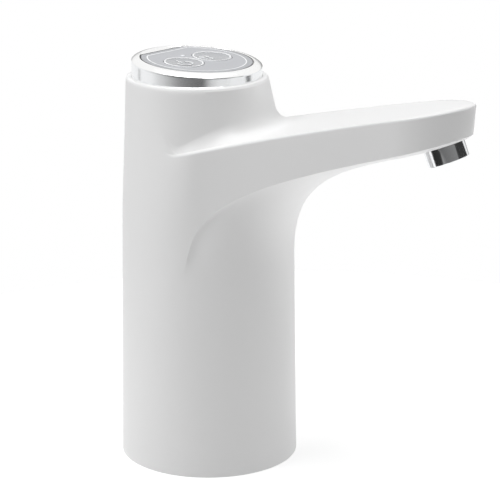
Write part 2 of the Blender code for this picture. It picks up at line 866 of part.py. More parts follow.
def build_base_screws(root):
    head_z = socket_floor_z - seat_gap
    tip_z = chassis_top_z + seat_gap + screw_bite
    crown = screw_head_radius * screw_crown_share
    profile = [(0, head_z - screw_head_height), (crown, head_z - screw_head_height),
               (screw_head_radius, head_z - screw_head_height / 2), (screw_head_radius, head_z),
               (screw_shank_radius, head_z), (screw_shank_radius, tip_z - screw_shank_radius), (0, tip_z)]
    mesh = turned("base_screw", profile, tiny_sides)
    for index, angle in enumerate(boss_angles, 1):
        place = (boss_pitch_radius * math.cos(angle), boss_pitch_radius * math.sin(angle), 0)
        add_piece(f"base_screw_{index}", mesh, "steel", root, place)


# Chassis that carries the pump, the battery and the charging board

chassis_low_z = socket_floor_z + socket_floor + seat_gap
chassis_top_z = chassis_low_z + chassis_floor
shelf_low_z = chassis_top_z + shelf_rise
shelf_top_z = shelf_low_z + shelf_thickness
battery_low_z = chassis_top_z + seat_gap
battery_top_z = battery_low_z + battery_length
cradle_bore = battery_radius + seat_gap
cradle_radius = cradle_bore + chassis_wall
charge_shelf_z = battery_top_z + battery_nub_height + 6 * wire_radius
charge_shelf_top_z = charge_shelf_z + chassis_wall
charge_board_z = charge_shelf_top_z + seat_gap
port_low_z = charge_board_z + charge_board_thickness + seat_gap
port_z = port_low_z + port_height / 2

damper_low_z = shelf_top_z + seat_gap
head_low_z = damper_low_z + damper_height + seat_gap
head_top_z = head_low_z + head_height
valve_low_z = head_top_z + seat_gap
valve_top_z = valve_low_z + valve_plate_height
diaphragm_low_z = valve_top_z + seat_gap
diaphragm_top_z = diaphragm_low_z + diaphragm_sheet
case_low_z = diaphragm_top_z + seat_gap
case_top_z = case_low_z + crank_case_height
wobble_z = diaphragm_top_z + wobble_rise
rotor_top_z = case_top_z - crank_case_roof - running_gap - seat_gap
rotor_low_z = rotor_top_z - rotor_height
motor_low_z = case_top_z + seat_gap
motor_top_z = motor_low_z + motor_length
cap_low_z = motor_top_z + seat_gap
motor_ring_z = motor_low_z + motor_length * motor_ring_share
sleeve_radius = motor_radius + seat_gap + sleeve_wall


def build_chassis(root):
    floor = rod("inner_frame", chassis_radius, chassis_low_z, chassis_top_z, large_sides)
    frame = add_piece("inner_frame", floor, "white_inner", root)

    cradle = rod("cradle_wall", cradle_radius, chassis_top_z - chassis_floor / 2, charge_shelf_top_z)
    unite(frame, add_tool("cradle_wall", cradle, root, (-battery_shift, 0, 0)))

    ring = rod("motor_ring", sleeve_radius + seat_gap + chassis_wall, motor_ring_z,
               motor_ring_z + motor_ring_height)
    unite(frame, add_tool("motor_ring", ring, root, (pump_shift, 0, 0)))

    shelf_end = pump_radius + chassis_wall / 2
    shelf = rod("pump_shelf", shelf_end, shelf_low_z, shelf_top_z)
    unite(frame, add_tool("pump_shelf", shelf, root, (pump_shift, 0, 0)))
    for side in (-1, 1):
        middle = leg_spread * side
        leg = block("shelf_leg", (-leg_width / 2, middle - chassis_wall, chassis_top_z - chassis_floor / 2),
                    (leg_width / 2, middle + chassis_wall, shelf_low_z + shelf_thickness / 2))
        unite(frame, add_tool(f"shelf_leg_{(side + 3) // 2}", leg, root, (pump_shift, 0, 0)))

    # Battery well, open toward the pump so that the cell can be pressed in
    well = rod("battery_well", cradle_bore, chassis_top_z, charge_shelf_z)
    cut(frame, add_tool("battery_well", well, root, (-battery_shift, 0, 0)))
    reach = cradle_radius + overrun
    mouth = [(0, 0), (reach, -reach * math.tan(cradle_opening_angle / 4)),
             (reach, reach * math.tan(cradle_opening_angle / 4))]
    mouth_low = chassis_top_z + 2 * chassis_floor
    gate = prism("cradle_mouth", mouth, mouth_low, motor_ring_z - chassis_wall)
    cut(frame, add_tool("cradle_mouth", gate, root, (-battery_shift, 0, 0)))

    # A notch each side lets the battery's leads out under the charging shelf
    half = 2 * wire_radius
    nub_top = battery_top_z + battery_nub_height
    slot = block("lead_slot", (-half, -cradle_radius - overrun, nub_top),
                 (half, cradle_radius + overrun, nub_top + 2 * half))
    cut(frame, add_tool("lead_slot", slot, root, (-battery_shift, 0, 0)))

    bore = rod("motor_well", sleeve_radius + seat_gap, motor_ring_z - overrun,
               motor_ring_z + motor_ring_height + overrun)
    cut(frame, add_tool("motor_well", bore, root, (pump_shift, 0, 0)))
    pass_hole = rod("shelf_hole", shelf_hole_radius, shelf_low_z - overrun / 2, shelf_top_z + overrun,
                    small_sides)
    cut(frame, add_tool("shelf_hole", pass_hole, root, (pump_shift, 0, 0)))
    port = rod("floor_port", fitting_neck_radius + seat_gap, chassis_low_z - overrun,
               chassis_top_z + overrun, small_sides)
    cut(frame, add_tool("floor_port", port, root, (pump_shift, 0, 0)))
    for index, angle in enumerate(boss_angles, 1):
        place = (boss_pitch_radius * math.cos(angle), boss_pitch_radius * math.sin(angle), 0)
        hole = rod("floor_screw_hole", screw_shank_radius + seat_gap, chassis_low_z - overrun,
                   chassis_top_z + overrun, small_sides)
        cut(frame, add_tool(f"floor_screw_hole_{index}", hole, root, place))


def build_battery(root):
    shoulder_radius = battery_radius * battery_crown_share
    profile = [(0, battery_low_z), (shoulder_radius, battery_low_z),
               (battery_radius, battery_low_z + battery_nub_height / 2),
               (battery_radius, battery_top_z - battery_nub_height / 2), (shoulder_radius, battery_top_z),
               (battery_nub_radius, battery_top_z), (battery_nub_radius, battery_top_z + battery_nub_height),
               (0, battery_top_z + battery_nub_height)]
    add_piece("battery_cell", turned("battery_cell", profile), "cell_blue", root, (-battery_shift, 0, 0))


# Diaphragm pump

def place_on_pump(angle, radius):
    return Vector((pump_shift + radius * math.cos(angle), radius * math.sin(angle), 0))


def chamber_angles():
    return [math.tau * index / chamber_count for index in range(chamber_count)]


def screw_angles():
    return [angle + math.pi / chamber_count for angle in chamber_angles()]


def barb_profile(length):
    # From the root outward along +Z: a plain stem with two shallow flares
    half = length / 2
    return [(0, 0), (barb_radius, 0), (barb_radius - barb_flare, half / 4), (barb_radius - barb_flare, half),
            (barb_radius, half), (barb_radius - barb_flare, length), (0, length)]


def cut_head_screw_holes(piece, low, high, root):
    for index, angle in enumerate(screw_angles(), 1):
        hole = rod("head_screw_hole", head_screw_radius + running_gap, low, high, tiny_sides)
        tool = add_tool(f"{piece.name}_hole_{index}", hole, root,
                        place_on_pump(angle, head_screw_pitch_radius))
        cut(piece, tool)


def build_pump(root):
    pump = (pump_shift, 0, 0)
    inner = pump_radius - damper_width - chassis_wall
    damper = pipe("pump_damper", inner - damper_width, inner, damper_low_z, damper_low_z + damper_height)
    add_piece("pump_damper", damper, "black_rubber", root, pump)

    edge = chassis_wall / 2
    profile = [(0, head_low_z), (pump_radius - edge, head_low_z), (pump_radius, head_low_z + edge),
               (pump_radius, head_top_z), (0, head_top_z)]
    head = add_piece("pump_head", turned("pump_head", profile), "black_plastic", root, pump)
    inlet = turned("inlet_stem", barb_profile(barb_length), small_sides)
    unite(head, add_tool("inlet_stem", inlet, root, (pump_shift, 0, head_low_z + weld_distance),
                         (math.pi, 0, 0)))
    outlet_root = place_on_pump(outlet_barb_angle, pump_radius - edge)
    outlet_root.z = outlet_z
    outlet = turned("outlet_stem", barb_profile(barb_length + edge), small_sides)
    unite(head, add_tool("outlet_stem", outlet, root, outlet_root, (0, math.pi / 2, outlet_barb_angle)))
    suction = rod("suction_way", passage_radius, head_low_z - barb_length - overrun,
                  head_top_z - 2 * chassis_wall, tiny_sides)
    cut(head, add_tool("suction_way", suction, root, pump))
    delivery = rod("delivery_way", passage_radius, pump_radius / 3, pump_radius + barb_length + overrun,
                   tiny_sides)
    cut(head, add_tool("delivery_way", delivery, root, (pump_shift, 0, outlet_z),
                       (0, math.pi / 2, outlet_barb_angle)))
    gallery = pipe("head_gallery", pump_radius / 4, pump_radius / 2, outlet_z, head_top_z + overrun)
    cut(head, add_tool("head_gallery", gallery, root, pump))
    cut_head_screw_holes(head, head_low_z - overrun, head_top_z + overrun, root)

    plate = add_piece("valve_plate", rod("valve_plate", pump_radius, valve_low_z, valve_top_z),
                      "white_inner", root, pump)
    for index, angle in enumerate(chamber_angles(), 1):
        for reach, tag in ((-1, "in"), (1, "out")):
            hole = rod("valve_hole", passage_radius, valve_low_z - overrun, valve_top_z + overrun,
                       tiny_sides)
            place = place_on_pump(angle, chamber_pitch_radius + reach * chamber_radius / 2)
            cut(plate, add_tool(f"valve_hole_{tag}_{index}", hole, root, place))
    cut_head_screw_holes(plate, valve_low_z - overrun, valve_top_z + overrun, root)

    sheet = rod("pump_diaphragm", pump_radius, diaphragm_low_z, diaphragm_top_z)
    diaphragm = add_piece("pump_diaphragm", sheet, "black_rubber", root, pump)
    for index, angle in enumerate(chamber_angles(), 1):
        top = cup_top_z(angle)
        neck = yoke_pad_radius * cup_neck_share
        waist = diaphragm_top_z + (top - diaphragm_top_z) * cup_waist_share
        foot = diaphragm_low_z + diaphragm_sheet / 2
        profile = [(0, foot), (chamber_radius, foot), (chamber_radius, diaphragm_top_z + diaphragm_sheet),
                   (neck, waist), (neck, top), (0, top)]
        cup = turned("diaphragm_cup", profile, small_sides)
        unite(diaphragm, add_tool(f"diaphragm_cup_{index}", cup, root,
                                  place_on_pump(angle, chamber_pitch_radius)))
    cut_head_screw_holes(diaphragm, diaphragm_low_z - overrun, diaphragm_top_z + overrun, root)

    bore = pump_radius - crank_case_wall
    roof = case_top_z - crank_case_roof
    hole_radius = motor_boss_radius + seat_gap
    profile = [(bore, case_low_z), (pump_radius, case_low_z), (pump_radius, case_top_z),
               (hole_radius, case_top_z), (hole_radius, roof), (bore, roof)]
    case = add_piece("crank_case", turned("crank_case", profile, ring=True), "black_plastic", root, pump)
    for index, angle in enumerate(screw_angles(), 1):
        place = place_on_pump(angle, head_screw_pitch_radius)
        post = rod("case_post", head_screw_radius + running_gap + case_post_wall, case_low_z + seat_gap,
                   roof + crank_case_roof / 2, small_sides)
        unite(case, add_tool(f"case_post_{index}", post, root, place))
    cut_head_screw_holes(case, case_low_z - overrun, case_low_z + head_screw_bite + seat_gap, root)

    low = head_low_z - seat_gap
    tip = case_low_z + head_screw_bite
    crown = head_screw_head_radius * screw_crown_share
    profile = [(0, low - screw_head_height), (crown, low - screw_head_height),
               (head_screw_head_radius, low - screw_head_height / 2), (head_screw_head_radius, low),
               (head_screw_radius, low), (head_screw_radius, tip - head_screw_radius), (0, tip)]
    mesh = turned("head_screw", profile, tiny_sides)
    for index, angle in enumerate(screw_angles(), 1):
        place = place_on_pump(angle, head_screw_pitch_radius)
        add_piece(f"head_screw_{index}", mesh, "steel", root, place)


outlet_z = head_low_z + head_height / 2


def cup_top_z(angle):
    # The yoke leans about the Y axis, so its arm at this angle has risen or dropped
    lean = -math.sin(wobble_tilt) * chamber_pitch_radius * math.cos(angle)
    return wobble_z + lean - yoke_thickness / 2 / math.cos(wobble_tilt) - 2 * seat_gap


def build_drive(root):
    # Shaft, rotor and leaning pin turn together. The yoke nutates on the pin.
    spin = add_empty("rotor_axis", (pump_shift, 0, wobble_z), parent=root)
    lean = add_empty("pin_axis", rotation=(0, wobble_tilt, 0), parent=spin)

    low = rotor_low_z - wobble_z
    high = rotor_top_z - wobble_z
    rotor = rod("drive_rotor", rotor_radius, low, high)
    rotor_piece = add_piece("drive_rotor", rotor, "white_inner", spin)
    hole = rod("pin_hole", pin_radius + running_gap, low - overrun, pin_length + seat_gap, small_sides)
    cut(rotor_piece, add_tool("pin_hole", hole, lean))
    shaft_low = high - rotor_height / 2 + pin_radius
    grip = rod("shaft_hole", shaft_radius + running_gap, shaft_low - seat_gap, high + overrun, small_sides)
    cut(rotor_piece, add_tool("shaft_hole", grip, spin))

    shaft = rod("motor_shaft", shaft_radius, shaft_low, motor_low_z - wobble_z + shaft_grip, small_sides)
    add_piece("motor_shaft", shaft, "steel", spin)
    pin = rod("drive_pin", pin_radius, -yoke_hub_height, pin_length, small_sides)
    add_piece("drive_pin", pin, "steel", lean)

    half = yoke_thickness / 2
    hub = rod("wobble_yoke", yoke_hub_radius, -half - yoke_hub_height / 2, half + yoke_hub_height / 2)
    yoke = add_piece("wobble_yoke", hub, "grey_plastic", lean)
    for index, angle in enumerate(chamber_angles(), 1):
        arm = block("yoke_arm", (0, -yoke_arm_width / 2, -half),
                    (chamber_pitch_radius, yoke_arm_width / 2, half))
        unite(yoke, add_tool(f"yoke_arm_{index}", arm, lean, rotation=(0, 0, angle)))
        pad = rod("yoke_pad", yoke_pad_radius, -half, half, small_sides)
        place = (chamber_pitch_radius * math.cos(angle), chamber_pitch_radius * math.sin(angle), 0)
        unite(yoke, add_tool(f"yoke_pad_{index}", pad, lean, place))
    bore = rod("yoke_bore", pin_radius + running_gap, -yoke_hub_height - overrun,
               yoke_hub_height + overrun, small_sides)
    cut(yoke, add_tool("yoke_bore", bore, lean))


def build_motor(root):
    motor = (pump_shift, 0, 0)
    edge = chassis_wall / 2
    boss_low = motor_low_z - motor_boss_height
    profile = [(0, boss_low), (motor_boss_radius, boss_low), (motor_boss_radius, motor_low_z),
               (motor_radius - edge, motor_low_z), (motor_radius, motor_low_z + edge),
               (motor_radius, motor_top_z), (0, motor_top_z)]
    can = add_piece("motor_can", turned("motor_can", profile), "steel", root, motor)
    bush = rod("shaft_bush", shaft_radius + running_gap, boss_low - overrun,
               motor_low_z + shaft_grip + seat_gap, small_sides)
    cut(can, add_tool("shaft_bush", bush, root, motor))

    cap_top = cap_low_z + end_cap_height
    profile = [(0, cap_low_z), (end_cap_radius, cap_low_z), (end_cap_radius, cap_top - edge),
               (end_cap_radius - edge, cap_top), (0, cap_top)]
    cap = add_piece("motor_end_cap", turned("motor_end_cap", profile), "black_plastic", root, motor)
    for side in (-1, 1):
        middle = terminal_spread * side
        tab = block("motor_terminal", (-terminal_width / 2, middle - terminal_thickness / 2, cap_top - edge),
                    (terminal_width / 2, middle + terminal_thickness / 2, cap_top + terminal_height))
        unite(cap, add_tool(f"motor_terminal_{(side + 3) // 2}", tab, root, motor))

    low = motor_ring_z - chassis_wall
    sleeve = pipe("motor_sleeve", motor_radius + seat_gap, sleeve_radius, low,
                  motor_ring_z + motor_ring_height + chassis_wall)
    add_piece("motor_sleeve", sleeve, "black_rubber", root, motor)


# Water path

def build_inlet(root):
    place = (pump_shift, 0, 0)
    flange_top = socket_floor_z - seat_gap
    flange_low = flange_top - fitting_flange_height
    stem_low = flange_low - fitting_stem_length
    neck_top = chassis_top_z + seat_gap
    tip = head_low_z - 2 * barb_length + hose_bore_radius
    ridge = barb_flare * 2
    profile = [(0, stem_low), (fitting_stem_radius - ridge, stem_low)]
    pitch = fitting_stem_length / fitting_barb_count
    edge_share, foot_share = fitting_barb_shares
    for step in range(fitting_barb_count):
        low = stem_low + pitch * step
        profile.append((fitting_stem_radius, low + pitch * edge_share))
        profile.append((fitting_stem_radius - ridge, low + pitch * foot_share))
    profile += [(fitting_stem_radius - ridge, flange_low), (fitting_flange_radius, flange_low),
                (fitting_flange_radius, flange_top), (fitting_neck_radius, flange_top),
                (fitting_neck_radius, neck_top), (barb_radius, neck_top), (barb_radius, tip), (0, tip)]
    mesh = turned("inlet_fitting", profile, small_sides)
    fitting = add_piece("inlet_fitting", mesh, "white_inner", root, place)
    bore = rod("inlet_bore", passage_radius, stem_low - overrun, tip + overrun, tiny_sides)
    cut(fitting, add_tool("inlet_bore", bore, root, place))

    low = neck_top + seat_gap
    high = head_low_z - seat_gap
    points = [Vector((0, 0, low)), Vector((0, 0, (low + high) / 2)), Vector((0, 0, high))]
    hose = hose_mesh("inlet_hose", points, hose_outer_radius, hose_bore_radius, steps=1)
    add_piece("inlet_hose", hose, "silicone", root, place)


def build_outlet_hose(root):
    start = place_on_pump(outlet_barb_angle, pump_radius + seat_gap)
    start.z = outlet_z
    out = Vector((math.cos(outlet_barb_angle), math.sin(outlet_barb_angle), 0))
    straight = start + out * barb_length
    corner = start + out * (barb_length + 2 * hose_outer_radius)
    end = Vector((elbow_barb_end_x + barb_length, 0, elbow_barb_z))
    neck = Vector((elbow_barb_end_x, 0, elbow_barb_z))
    riser = corner + Vector((0, 0, 3 * hose_outer_radius))
    riser_top = Vector((riser.x, riser.y, motor_ring_z))
    turn = Vector((riser.x + 2 * hose_outer_radius, riser.y, motor_ring_z + 3 * hose_outer_radius))
    beside = Vector((pump_shift + motor_radius / 2, -motor_radius - 2 * hose_outer_radius, 0))
    beside.z = top_z(0) - 2 * hose_outer_radius
    entry = Vector((column_radius(beside.z), -3 * hose_outer_radius, 0))
    entry.z = top_z(entry.x) - hose_entry_drop
    middle = Vector(((entry.x + neck.x) / 2, -hose_outer_radius, 0))
    middle.z = top_z(middle.x) - hose_middle_drop
    points = [start, straight, corner + Vector((0, 0, hose_outer_radius)), riser, riser_top, turn, beside,
              entry, middle, neck, (neck + end) / 2, end]
    hose = hose_mesh("outlet_hose", points, hose_outer_radius, hose_bore_radius, steps=2)
    add_piece("outlet_hose", hose, "silicone", root)


nozzle_top_x = nozzle_mouth.x - nozzle_length * math.sin(nozzle_tilt)
elbow_barb_end_x = nozzle_top_x - elbow_flange_radius - elbow_reach


def build_nozzle(root, frame):
    edge = nozzle_edge
    bore = nozzle_radius - nozzle_wall
    profile = [(bore, edge), (bore + edge, 0), (nozzle_radius - edge, 0), (nozzle_radius, edge),
               (nozzle_radius, nozzle_length), (bore, nozzle_length)]
    add_piece("nozzle_tube", turned("nozzle_tube", profile, large_sides, ring=True), "chrome", frame)

    insert_radius = bore - seat_gap
    top = insert_recess + insert_height
    insert = add_piece("stream_insert", rod("stream_insert", insert_radius, insert_recess, top),
                       "grey_plastic", frame)
    places = [(0, 0)]
    for index in range(insert_hole_count):
        turn = math.tau * index / insert_hole_count
        places.append((insert_ring_radius * math.cos(turn), insert_ring_radius * math.sin(turn)))
    for index, (x, y) in enumerate(places, 1):
        hole = rod("insert_hole", insert_hole_radius, insert_recess - overrun, top + overrun, tiny_sides)
        cut(insert, add_tool(f"insert_hole_{index}", hole, frame, (x, y, 0)))

    seal_low = nozzle_boss_high + seat_gap
    seal_high = seal_low + nozzle_seal_height
    seal = pipe("nozzle_seal", insert_radius + seat_gap, elbow_flange_radius, seal_low, seal_high)
    add_piece("nozzle_seal", seal, "black_rubber", frame)

    flange_low = seal_high + seat_gap
    flange_top = flange_low + elbow_flange_height
    plug_radius = insert_radius - seat_gap
    profile = [(0, flange_low - elbow_plug_length), (plug_radius, flange_low - elbow_plug_length),
               (plug_radius, flange_low), (elbow_flange_radius, flange_low),
               (elbow_flange_radius, flange_top), (0, flange_top)]
    elbow = add_piece("nozzle_elbow", turned("nozzle_elbow", profile), "white_inner", frame)
    axis = Vector((-math.sin(nozzle_tilt), 0, math.cos(nozzle_tilt)))
    root_x = (nozzle_mouth + axis * flange_low).x
    stem_length = root_x - elbow_barb_end_x - barb_length / 2
    stem = rod("elbow_stem", barb_radius, 0, stem_length, small_sides)
    unite(elbow, add_tool("elbow_stem", stem, root, (root_x, 0, elbow_barb_z), (0, -math.pi / 2, 0)))
    way = rod("elbow_way", passage_radius, flange_low - elbow_plug_length - overrun, flange_low,
              tiny_sides)
    cut(elbow, add_tool("elbow_way", way, frame))
    way = rod("elbow_side_way", passage_radius, 0, stem_length + overrun, tiny_sides)
    cut(elbow, add_tool("elbow_side_way", way, root, (root_x, 0, elbow_barb_z), (0, -math.pi / 2, 0)))


# Control panel

def build_ring(root):
    # Each profile point holds its radius, its height at the ring's centre, and how much of
    # the panel's tilt it takes, from none on the level foot to all on the sloping top.
    foot_z = flange_low_z + flange_thickness + seat_gap
    band_top_z = rim_z + ring_band
    skirt = ring_radius - seat_gap
    shelf_z = panel_z - panel_thickness - seat_gap
    guide_low_z = panel_z - guide_drop - guide_thickness - seat_gap
    inner_low = ring_inner_radius - ring_shelf_width
    points = [(skirt - ring_skirt_gap, foot_z, 0), (skirt, foot_z, 0), (skirt, rim_z, 0),
              (ring_radius, rim_z, 0), (ring_radius, band_top_z, 1)]
    width = ring_radius - ring_inner_radius
    height = panel_z + ring_crown - band_top_z
    for step in range(1, edge_rows + 1):
        turn = math.pi / 2 * step / (edge_rows + 1)
        points.append((ring_inner_radius + width * math.cos(turn),
                       band_top_z + height * math.sin(turn), 1))
    points += [(ring_inner_radius, panel_z, 1), (ring_inner_radius, shelf_z, 1), (inner_low, shelf_z, 1)]
    points += [(inner_low, shelf_z - ring_shelf_width, 1),
               (ring_inner_radius, shelf_z - ring_shelf_width, 1)]
    points += [(ring_inner_radius, guide_low_z, 1), (inner_low, guide_low_z, 1)]
    points += [(inner_low, guide_low_z - ring_shelf_width, 1),
               (skirt - ring_skirt_gap, foot_z + rim_lip, 0)]

    sides = large_sides + 4
    rings = []
    for radius, height, share in points:
        ring = []
        for x, y, z in circle(radius, height, 0.0, sides):
            along = x * math.cos(panel_turn) + y * math.sin(panel_turn)
            ring.append((x, y, z - along * math.tan(panel_tilt) * share))
        rings.append(ring)
    mesh = lofted("trim_ring", rings, loop=True)
    return add_piece("trim_ring", mesh, "chrome", root, (-rim_shift, 0, 0))


def chord_outline(radius, chord, behind):
    # A disc's outline cut by a chord behind its centre, or the slice behind that chord
    reach = math.acos(chord / radius)
    if behind:
        first, last, steps = math.pi - reach, math.pi + reach, small_sides
    else:
        first, last, steps = reach - math.pi, math.pi - reach, large_sides
    turns = [first + (last - first) * index / steps for index in range(steps + 1)]
    return [(radius * math.cos(turn), radius * math.sin(turn)) for turn in turns]


def key_places():
    return (("power_key", -key_pitch / 2), ("flow_key", key_pitch / 2))


def build_panel(root, frame):
    # The frame's origin is the centre of the panel's top face, turned to the keys' layout
    ring = build_ring(root)
    outline = chord_outline(ring_inner_radius + rim_lip, panel_chord + seat_gap, True)
    slice_mesh = prism("ring_slice", outline, -panel_thickness, 0)
    unite(ring, add_tool("ring_slice", slice_mesh, frame))

    outline = chord_outline(panel_radius, panel_chord, False)
    mesh = prism("control_panel", outline, -panel_thickness, 0)
    panel = add_piece("control_panel", mesh, "panel_silver", frame)
    guide_top = -guide_drop
    guide_low = guide_top - guide_thickness
    mesh = rod("key_guide", guide_radius, guide_low, guide_top, large_sides)
    guide = add_piece("key_guide", mesh, "black_plastic", frame)
    board_top = -board_drop
    board_low = board_top - board_thickness
    mesh = rod("control_board", board_radius, board_low, board_top, large_sides)
    board = add_piece("control_board", mesh, "board_green", frame)

    collar_top = guide_low - seat_gap
    collar_low = collar_top - key_collar_height
    plunger_top = collar_low - key_travel - running_gap
    switch_low = board_top + seat_gap
    for index, (name, side) in enumerate(key_places(), 1):
        place = (key_forward, side, 0)
        hole = rod("key_window", key_radius + seat_gap, -panel_thickness - overrun, overrun, round_sides)
        cut(panel, add_tool(f"key_window_{index}", hole, frame, place))
        bore = rod("key_bore", key_stem_radius + seat_gap, guide_low - overrun, guide_top + overrun,
                   small_sides)
        cut(guide, add_tool(f"key_bore_{index}", bore, frame, place))

        reach_share, depth_share = key_dish_shares
        profile = [(0, -key_dish), (key_radius * reach_share, -key_dish * depth_share),
                   (key_radius - 2 * key_edge, 0), (key_radius - key_edge, 0), (key_radius, -key_edge),
                   (key_radius, -key_cap), (key_stem_radius, -key_cap), (key_stem_radius, collar_top),
                   (key_collar_radius, collar_top), (key_collar_radius, collar_low), (0, collar_low)]
        add_piece(name, turned(name, profile, round_sides), "key_silver", frame, place)

        half = switch_size / 2
        body = block("key_switch", (-half, -half, switch_low), (half, half, switch_low + switch_height))
        switch = add_piece(name.replace("key", "switch"), body, "black_plastic", frame, place)
        plunger = rod("switch_plunger", plunger_radius, switch_low + switch_height / 2, plunger_top,
                      small_sides)
        unite(switch, add_tool(f"switch_plunger_{index}", plunger, frame, place))

    light = (-light_back, 0, 0)
    hole = rod("light_window", light_radius + running_gap, -panel_thickness - overrun, overrun,
               small_sides)
    cut(panel, add_tool("light_window", hole, frame, light))
    hole = rod("light_way", light_radius + running_gap, guide_low - overrun, guide_top + overrun,
               small_sides)
    cut(guide, add_tool("light_way", hole, frame, light))
    flange_top = -panel_thickness - seat_gap
    flange_low = flange_top - light_flange_height
    low = board_top + seat_gap
    profile = [(0, low), (light_radius, low), (light_radius, flange_low), (light_flange_radius, flange_low),
               (light_flange_radius, flange_top), (light_radius, flange_top), (light_radius, 0), (0, 0)]
    add_piece("light_pipe", turned("light_pipe", profile, small_sides), "clear_white", frame, light)

    post_low = board_top + seat_gap
    for index, side in enumerate((-1, 1), 1):
        place = (post_spread * side + key_forward, 0, 0)
        post = rod("guide_post", post_radius, post_low, guide_low + guide_thickness / 2, small_sides)
        unite(guide, add_tool(f"guide_post_{index}", post, frame, place))
        pilot = rod("post_hole", board_screw_radius + running_gap, post_low - overrun, guide_low, tiny_sides)
        cut(guide, add_tool(f"post_hole_{index}", pilot, frame, place))
        hole = rod("board_hole", board_screw_radius + seat_gap, board_low - overrun, board_top + overrun,
                   tiny_sides)
        cut(board, add_tool(f"board_hole_{index}", hole, frame, place))
        head = board_low - seat_gap
        tip = guide_low - seat_gap
        profile = [(0, head - board_screw_radius), (board_screw_head, head - board_screw_radius),
                   (board_screw_head, head), (board_screw_radius, head), (board_screw_radius, tip), (0, tip)]
        mesh = turned("board_screw", profile, tiny_sides)
        add_piece(f"board_screw_{index}", mesh, "steel", frame, place)


# Charging port

def build_charge_port(root):
    half = charge_board_width / 2
    room = section_radius(math.pi, port_z, shell_wall + seat_gap)
    back = -section_radius(math.pi, port_z) + port_recess
    board_back = -math.sqrt(room ** 2 - half ** 2)
    board = block("charge_board", (board_back, -half, charge_board_z),
                  (board_back + charge_board_length, half, charge_board_z + charge_board_thickness))
    add_piece("charge_board", board, "board_green", root)

    half = port_width / 2
    mesh = block("charge_socket", (back, -half, port_low_z),
                 (back + port_depth, half, port_low_z + port_height))
    socket = add_piece("charge_socket", mesh, "steel", root)
    hollow = block("socket_hollow", (back - overrun, -half + port_wall, port_low_z + port_wall),
                   (back + port_depth - port_wall, half - port_wall, port_low_z + port_height - port_wall))
    cut(socket, add_tool("socket_hollow", hollow, root))
    middle = port_low_z + port_height / 2
    tongue = block("socket_tongue", (back + 2 * port_recess, -half / 2, middle - port_tongue / 2),
                   (back + port_depth - port_wall / 2, half / 2, middle + port_tongue / 2))
    unite(socket, add_tool("socket_tongue", tongue, root))


def build_wiring(root):
    # Two leads rise from the motor's tabs and two from the cell, all to the control board
    def board_point(x, y):
        along = (x + rim_shift) * math.cos(panel_turn) + y * math.sin(panel_turn)
        under = panel_z - board_drop - board_thickness - along * math.tan(panel_tilt)
        return Vector((x, y, under - 2 * seat_gap))

    tab_top = cap_low_z + end_cap_height + terminal_height + wire_radius + seat_gap
    cell_top = battery_top_z + battery_nub_height + seat_gap + wire_radius
    for side, colour in ((-1, "black"), (1, "red")):
        y = terminal_spread * side
        end = board_point(-wire_side_step / 2, y)
        knee = (pump_shift + end.x) / 2
        points = [Vector((pump_shift, y, tab_top)), Vector((knee, y, tab_top + wire_side_step)),
                  end - Vector((0, 0, wire_side_step)), end]
        add_wire(f"motor_lead_{colour}", f"wire_{colour}", points, root)

        start = Vector((-battery_shift, 2 * wire_radius * side, cell_top))
        beside = Vector((-battery_shift, (cradle_radius + wire_radius) * side, cell_top))
        riser = Vector((-battery_shift, (cradle_radius + wire_side_step) * side, charge_shelf_top_z))
        end = board_point(-battery_shift / 2, (cradle_radius - wire_side_step / 2) * side)
        points = [start, beside, riser, riser + Vector((wire_side_step / 2, 0, 2 * wire_side_step)),
                  end - Vector((0, 0, 2 * wire_side_step)), end]
        add_wire(f"battery_lead_{colour}", f"wire_{colour}", points, root)


def main():
    clear_scene()
    # The origin is under the middle of the whole pump, with the column behind it
    foremost = spout_reach + nose_draft * edge_fillet
    overhang = (foremost - base_radius) / 2
    root = add_empty("pump_root", (-overhang, 0, 0))
    nozzle_frame = add_empty("nozzle_frame", nozzle_mouth, (0, -nozzle_tilt, 0), root)
    turn_frame = add_empty("panel_turn", (-rim_shift, 0, panel_z), (0, 0, panel_turn), root)
    panel_frame = add_empty("panel_frame", rotation=(0, panel_tilt, 0), parent=turn_frame)

    build_shell(root, nozzle_frame)
    build_neck(root)
    build_base_screws(root)
    build_chassis(root)
    build_battery(root)
    build_pump(root)
    build_drive(root)
    build_motor(root)
    build_inlet(root)
    build_outlet_hose(root)
    build_nozzle(root, nozzle_frame)
    build_panel(root, panel_frame)
    build_charge_port(root)
    build_wiring(root)
    bpy.context.view_layer.update()


main()
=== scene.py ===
import math
from bisect import bisect_left

import bmesh
import bpy
from mathutils import Matrix, Vector


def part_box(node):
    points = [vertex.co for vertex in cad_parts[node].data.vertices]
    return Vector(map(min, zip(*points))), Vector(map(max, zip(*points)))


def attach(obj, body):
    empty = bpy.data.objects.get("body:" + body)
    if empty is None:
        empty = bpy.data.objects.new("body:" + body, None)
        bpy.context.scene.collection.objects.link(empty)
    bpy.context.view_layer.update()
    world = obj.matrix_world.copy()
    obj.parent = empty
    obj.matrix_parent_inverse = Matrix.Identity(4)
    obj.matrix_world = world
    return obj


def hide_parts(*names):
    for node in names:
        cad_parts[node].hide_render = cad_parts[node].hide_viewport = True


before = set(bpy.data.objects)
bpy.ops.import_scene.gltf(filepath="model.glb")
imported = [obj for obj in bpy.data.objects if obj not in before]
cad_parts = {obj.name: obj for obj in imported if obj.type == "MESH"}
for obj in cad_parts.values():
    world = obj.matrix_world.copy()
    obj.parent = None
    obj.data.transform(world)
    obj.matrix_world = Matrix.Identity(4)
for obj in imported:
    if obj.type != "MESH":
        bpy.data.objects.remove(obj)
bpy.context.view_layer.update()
mm = 0.001
axisX = -0.036505  # the column's own axis, from the middle of the whole pump
toColumn = Matrix.Translation((axisX, 0, 0))
gap = 0.3 * mm  # between pieces that are pushed together
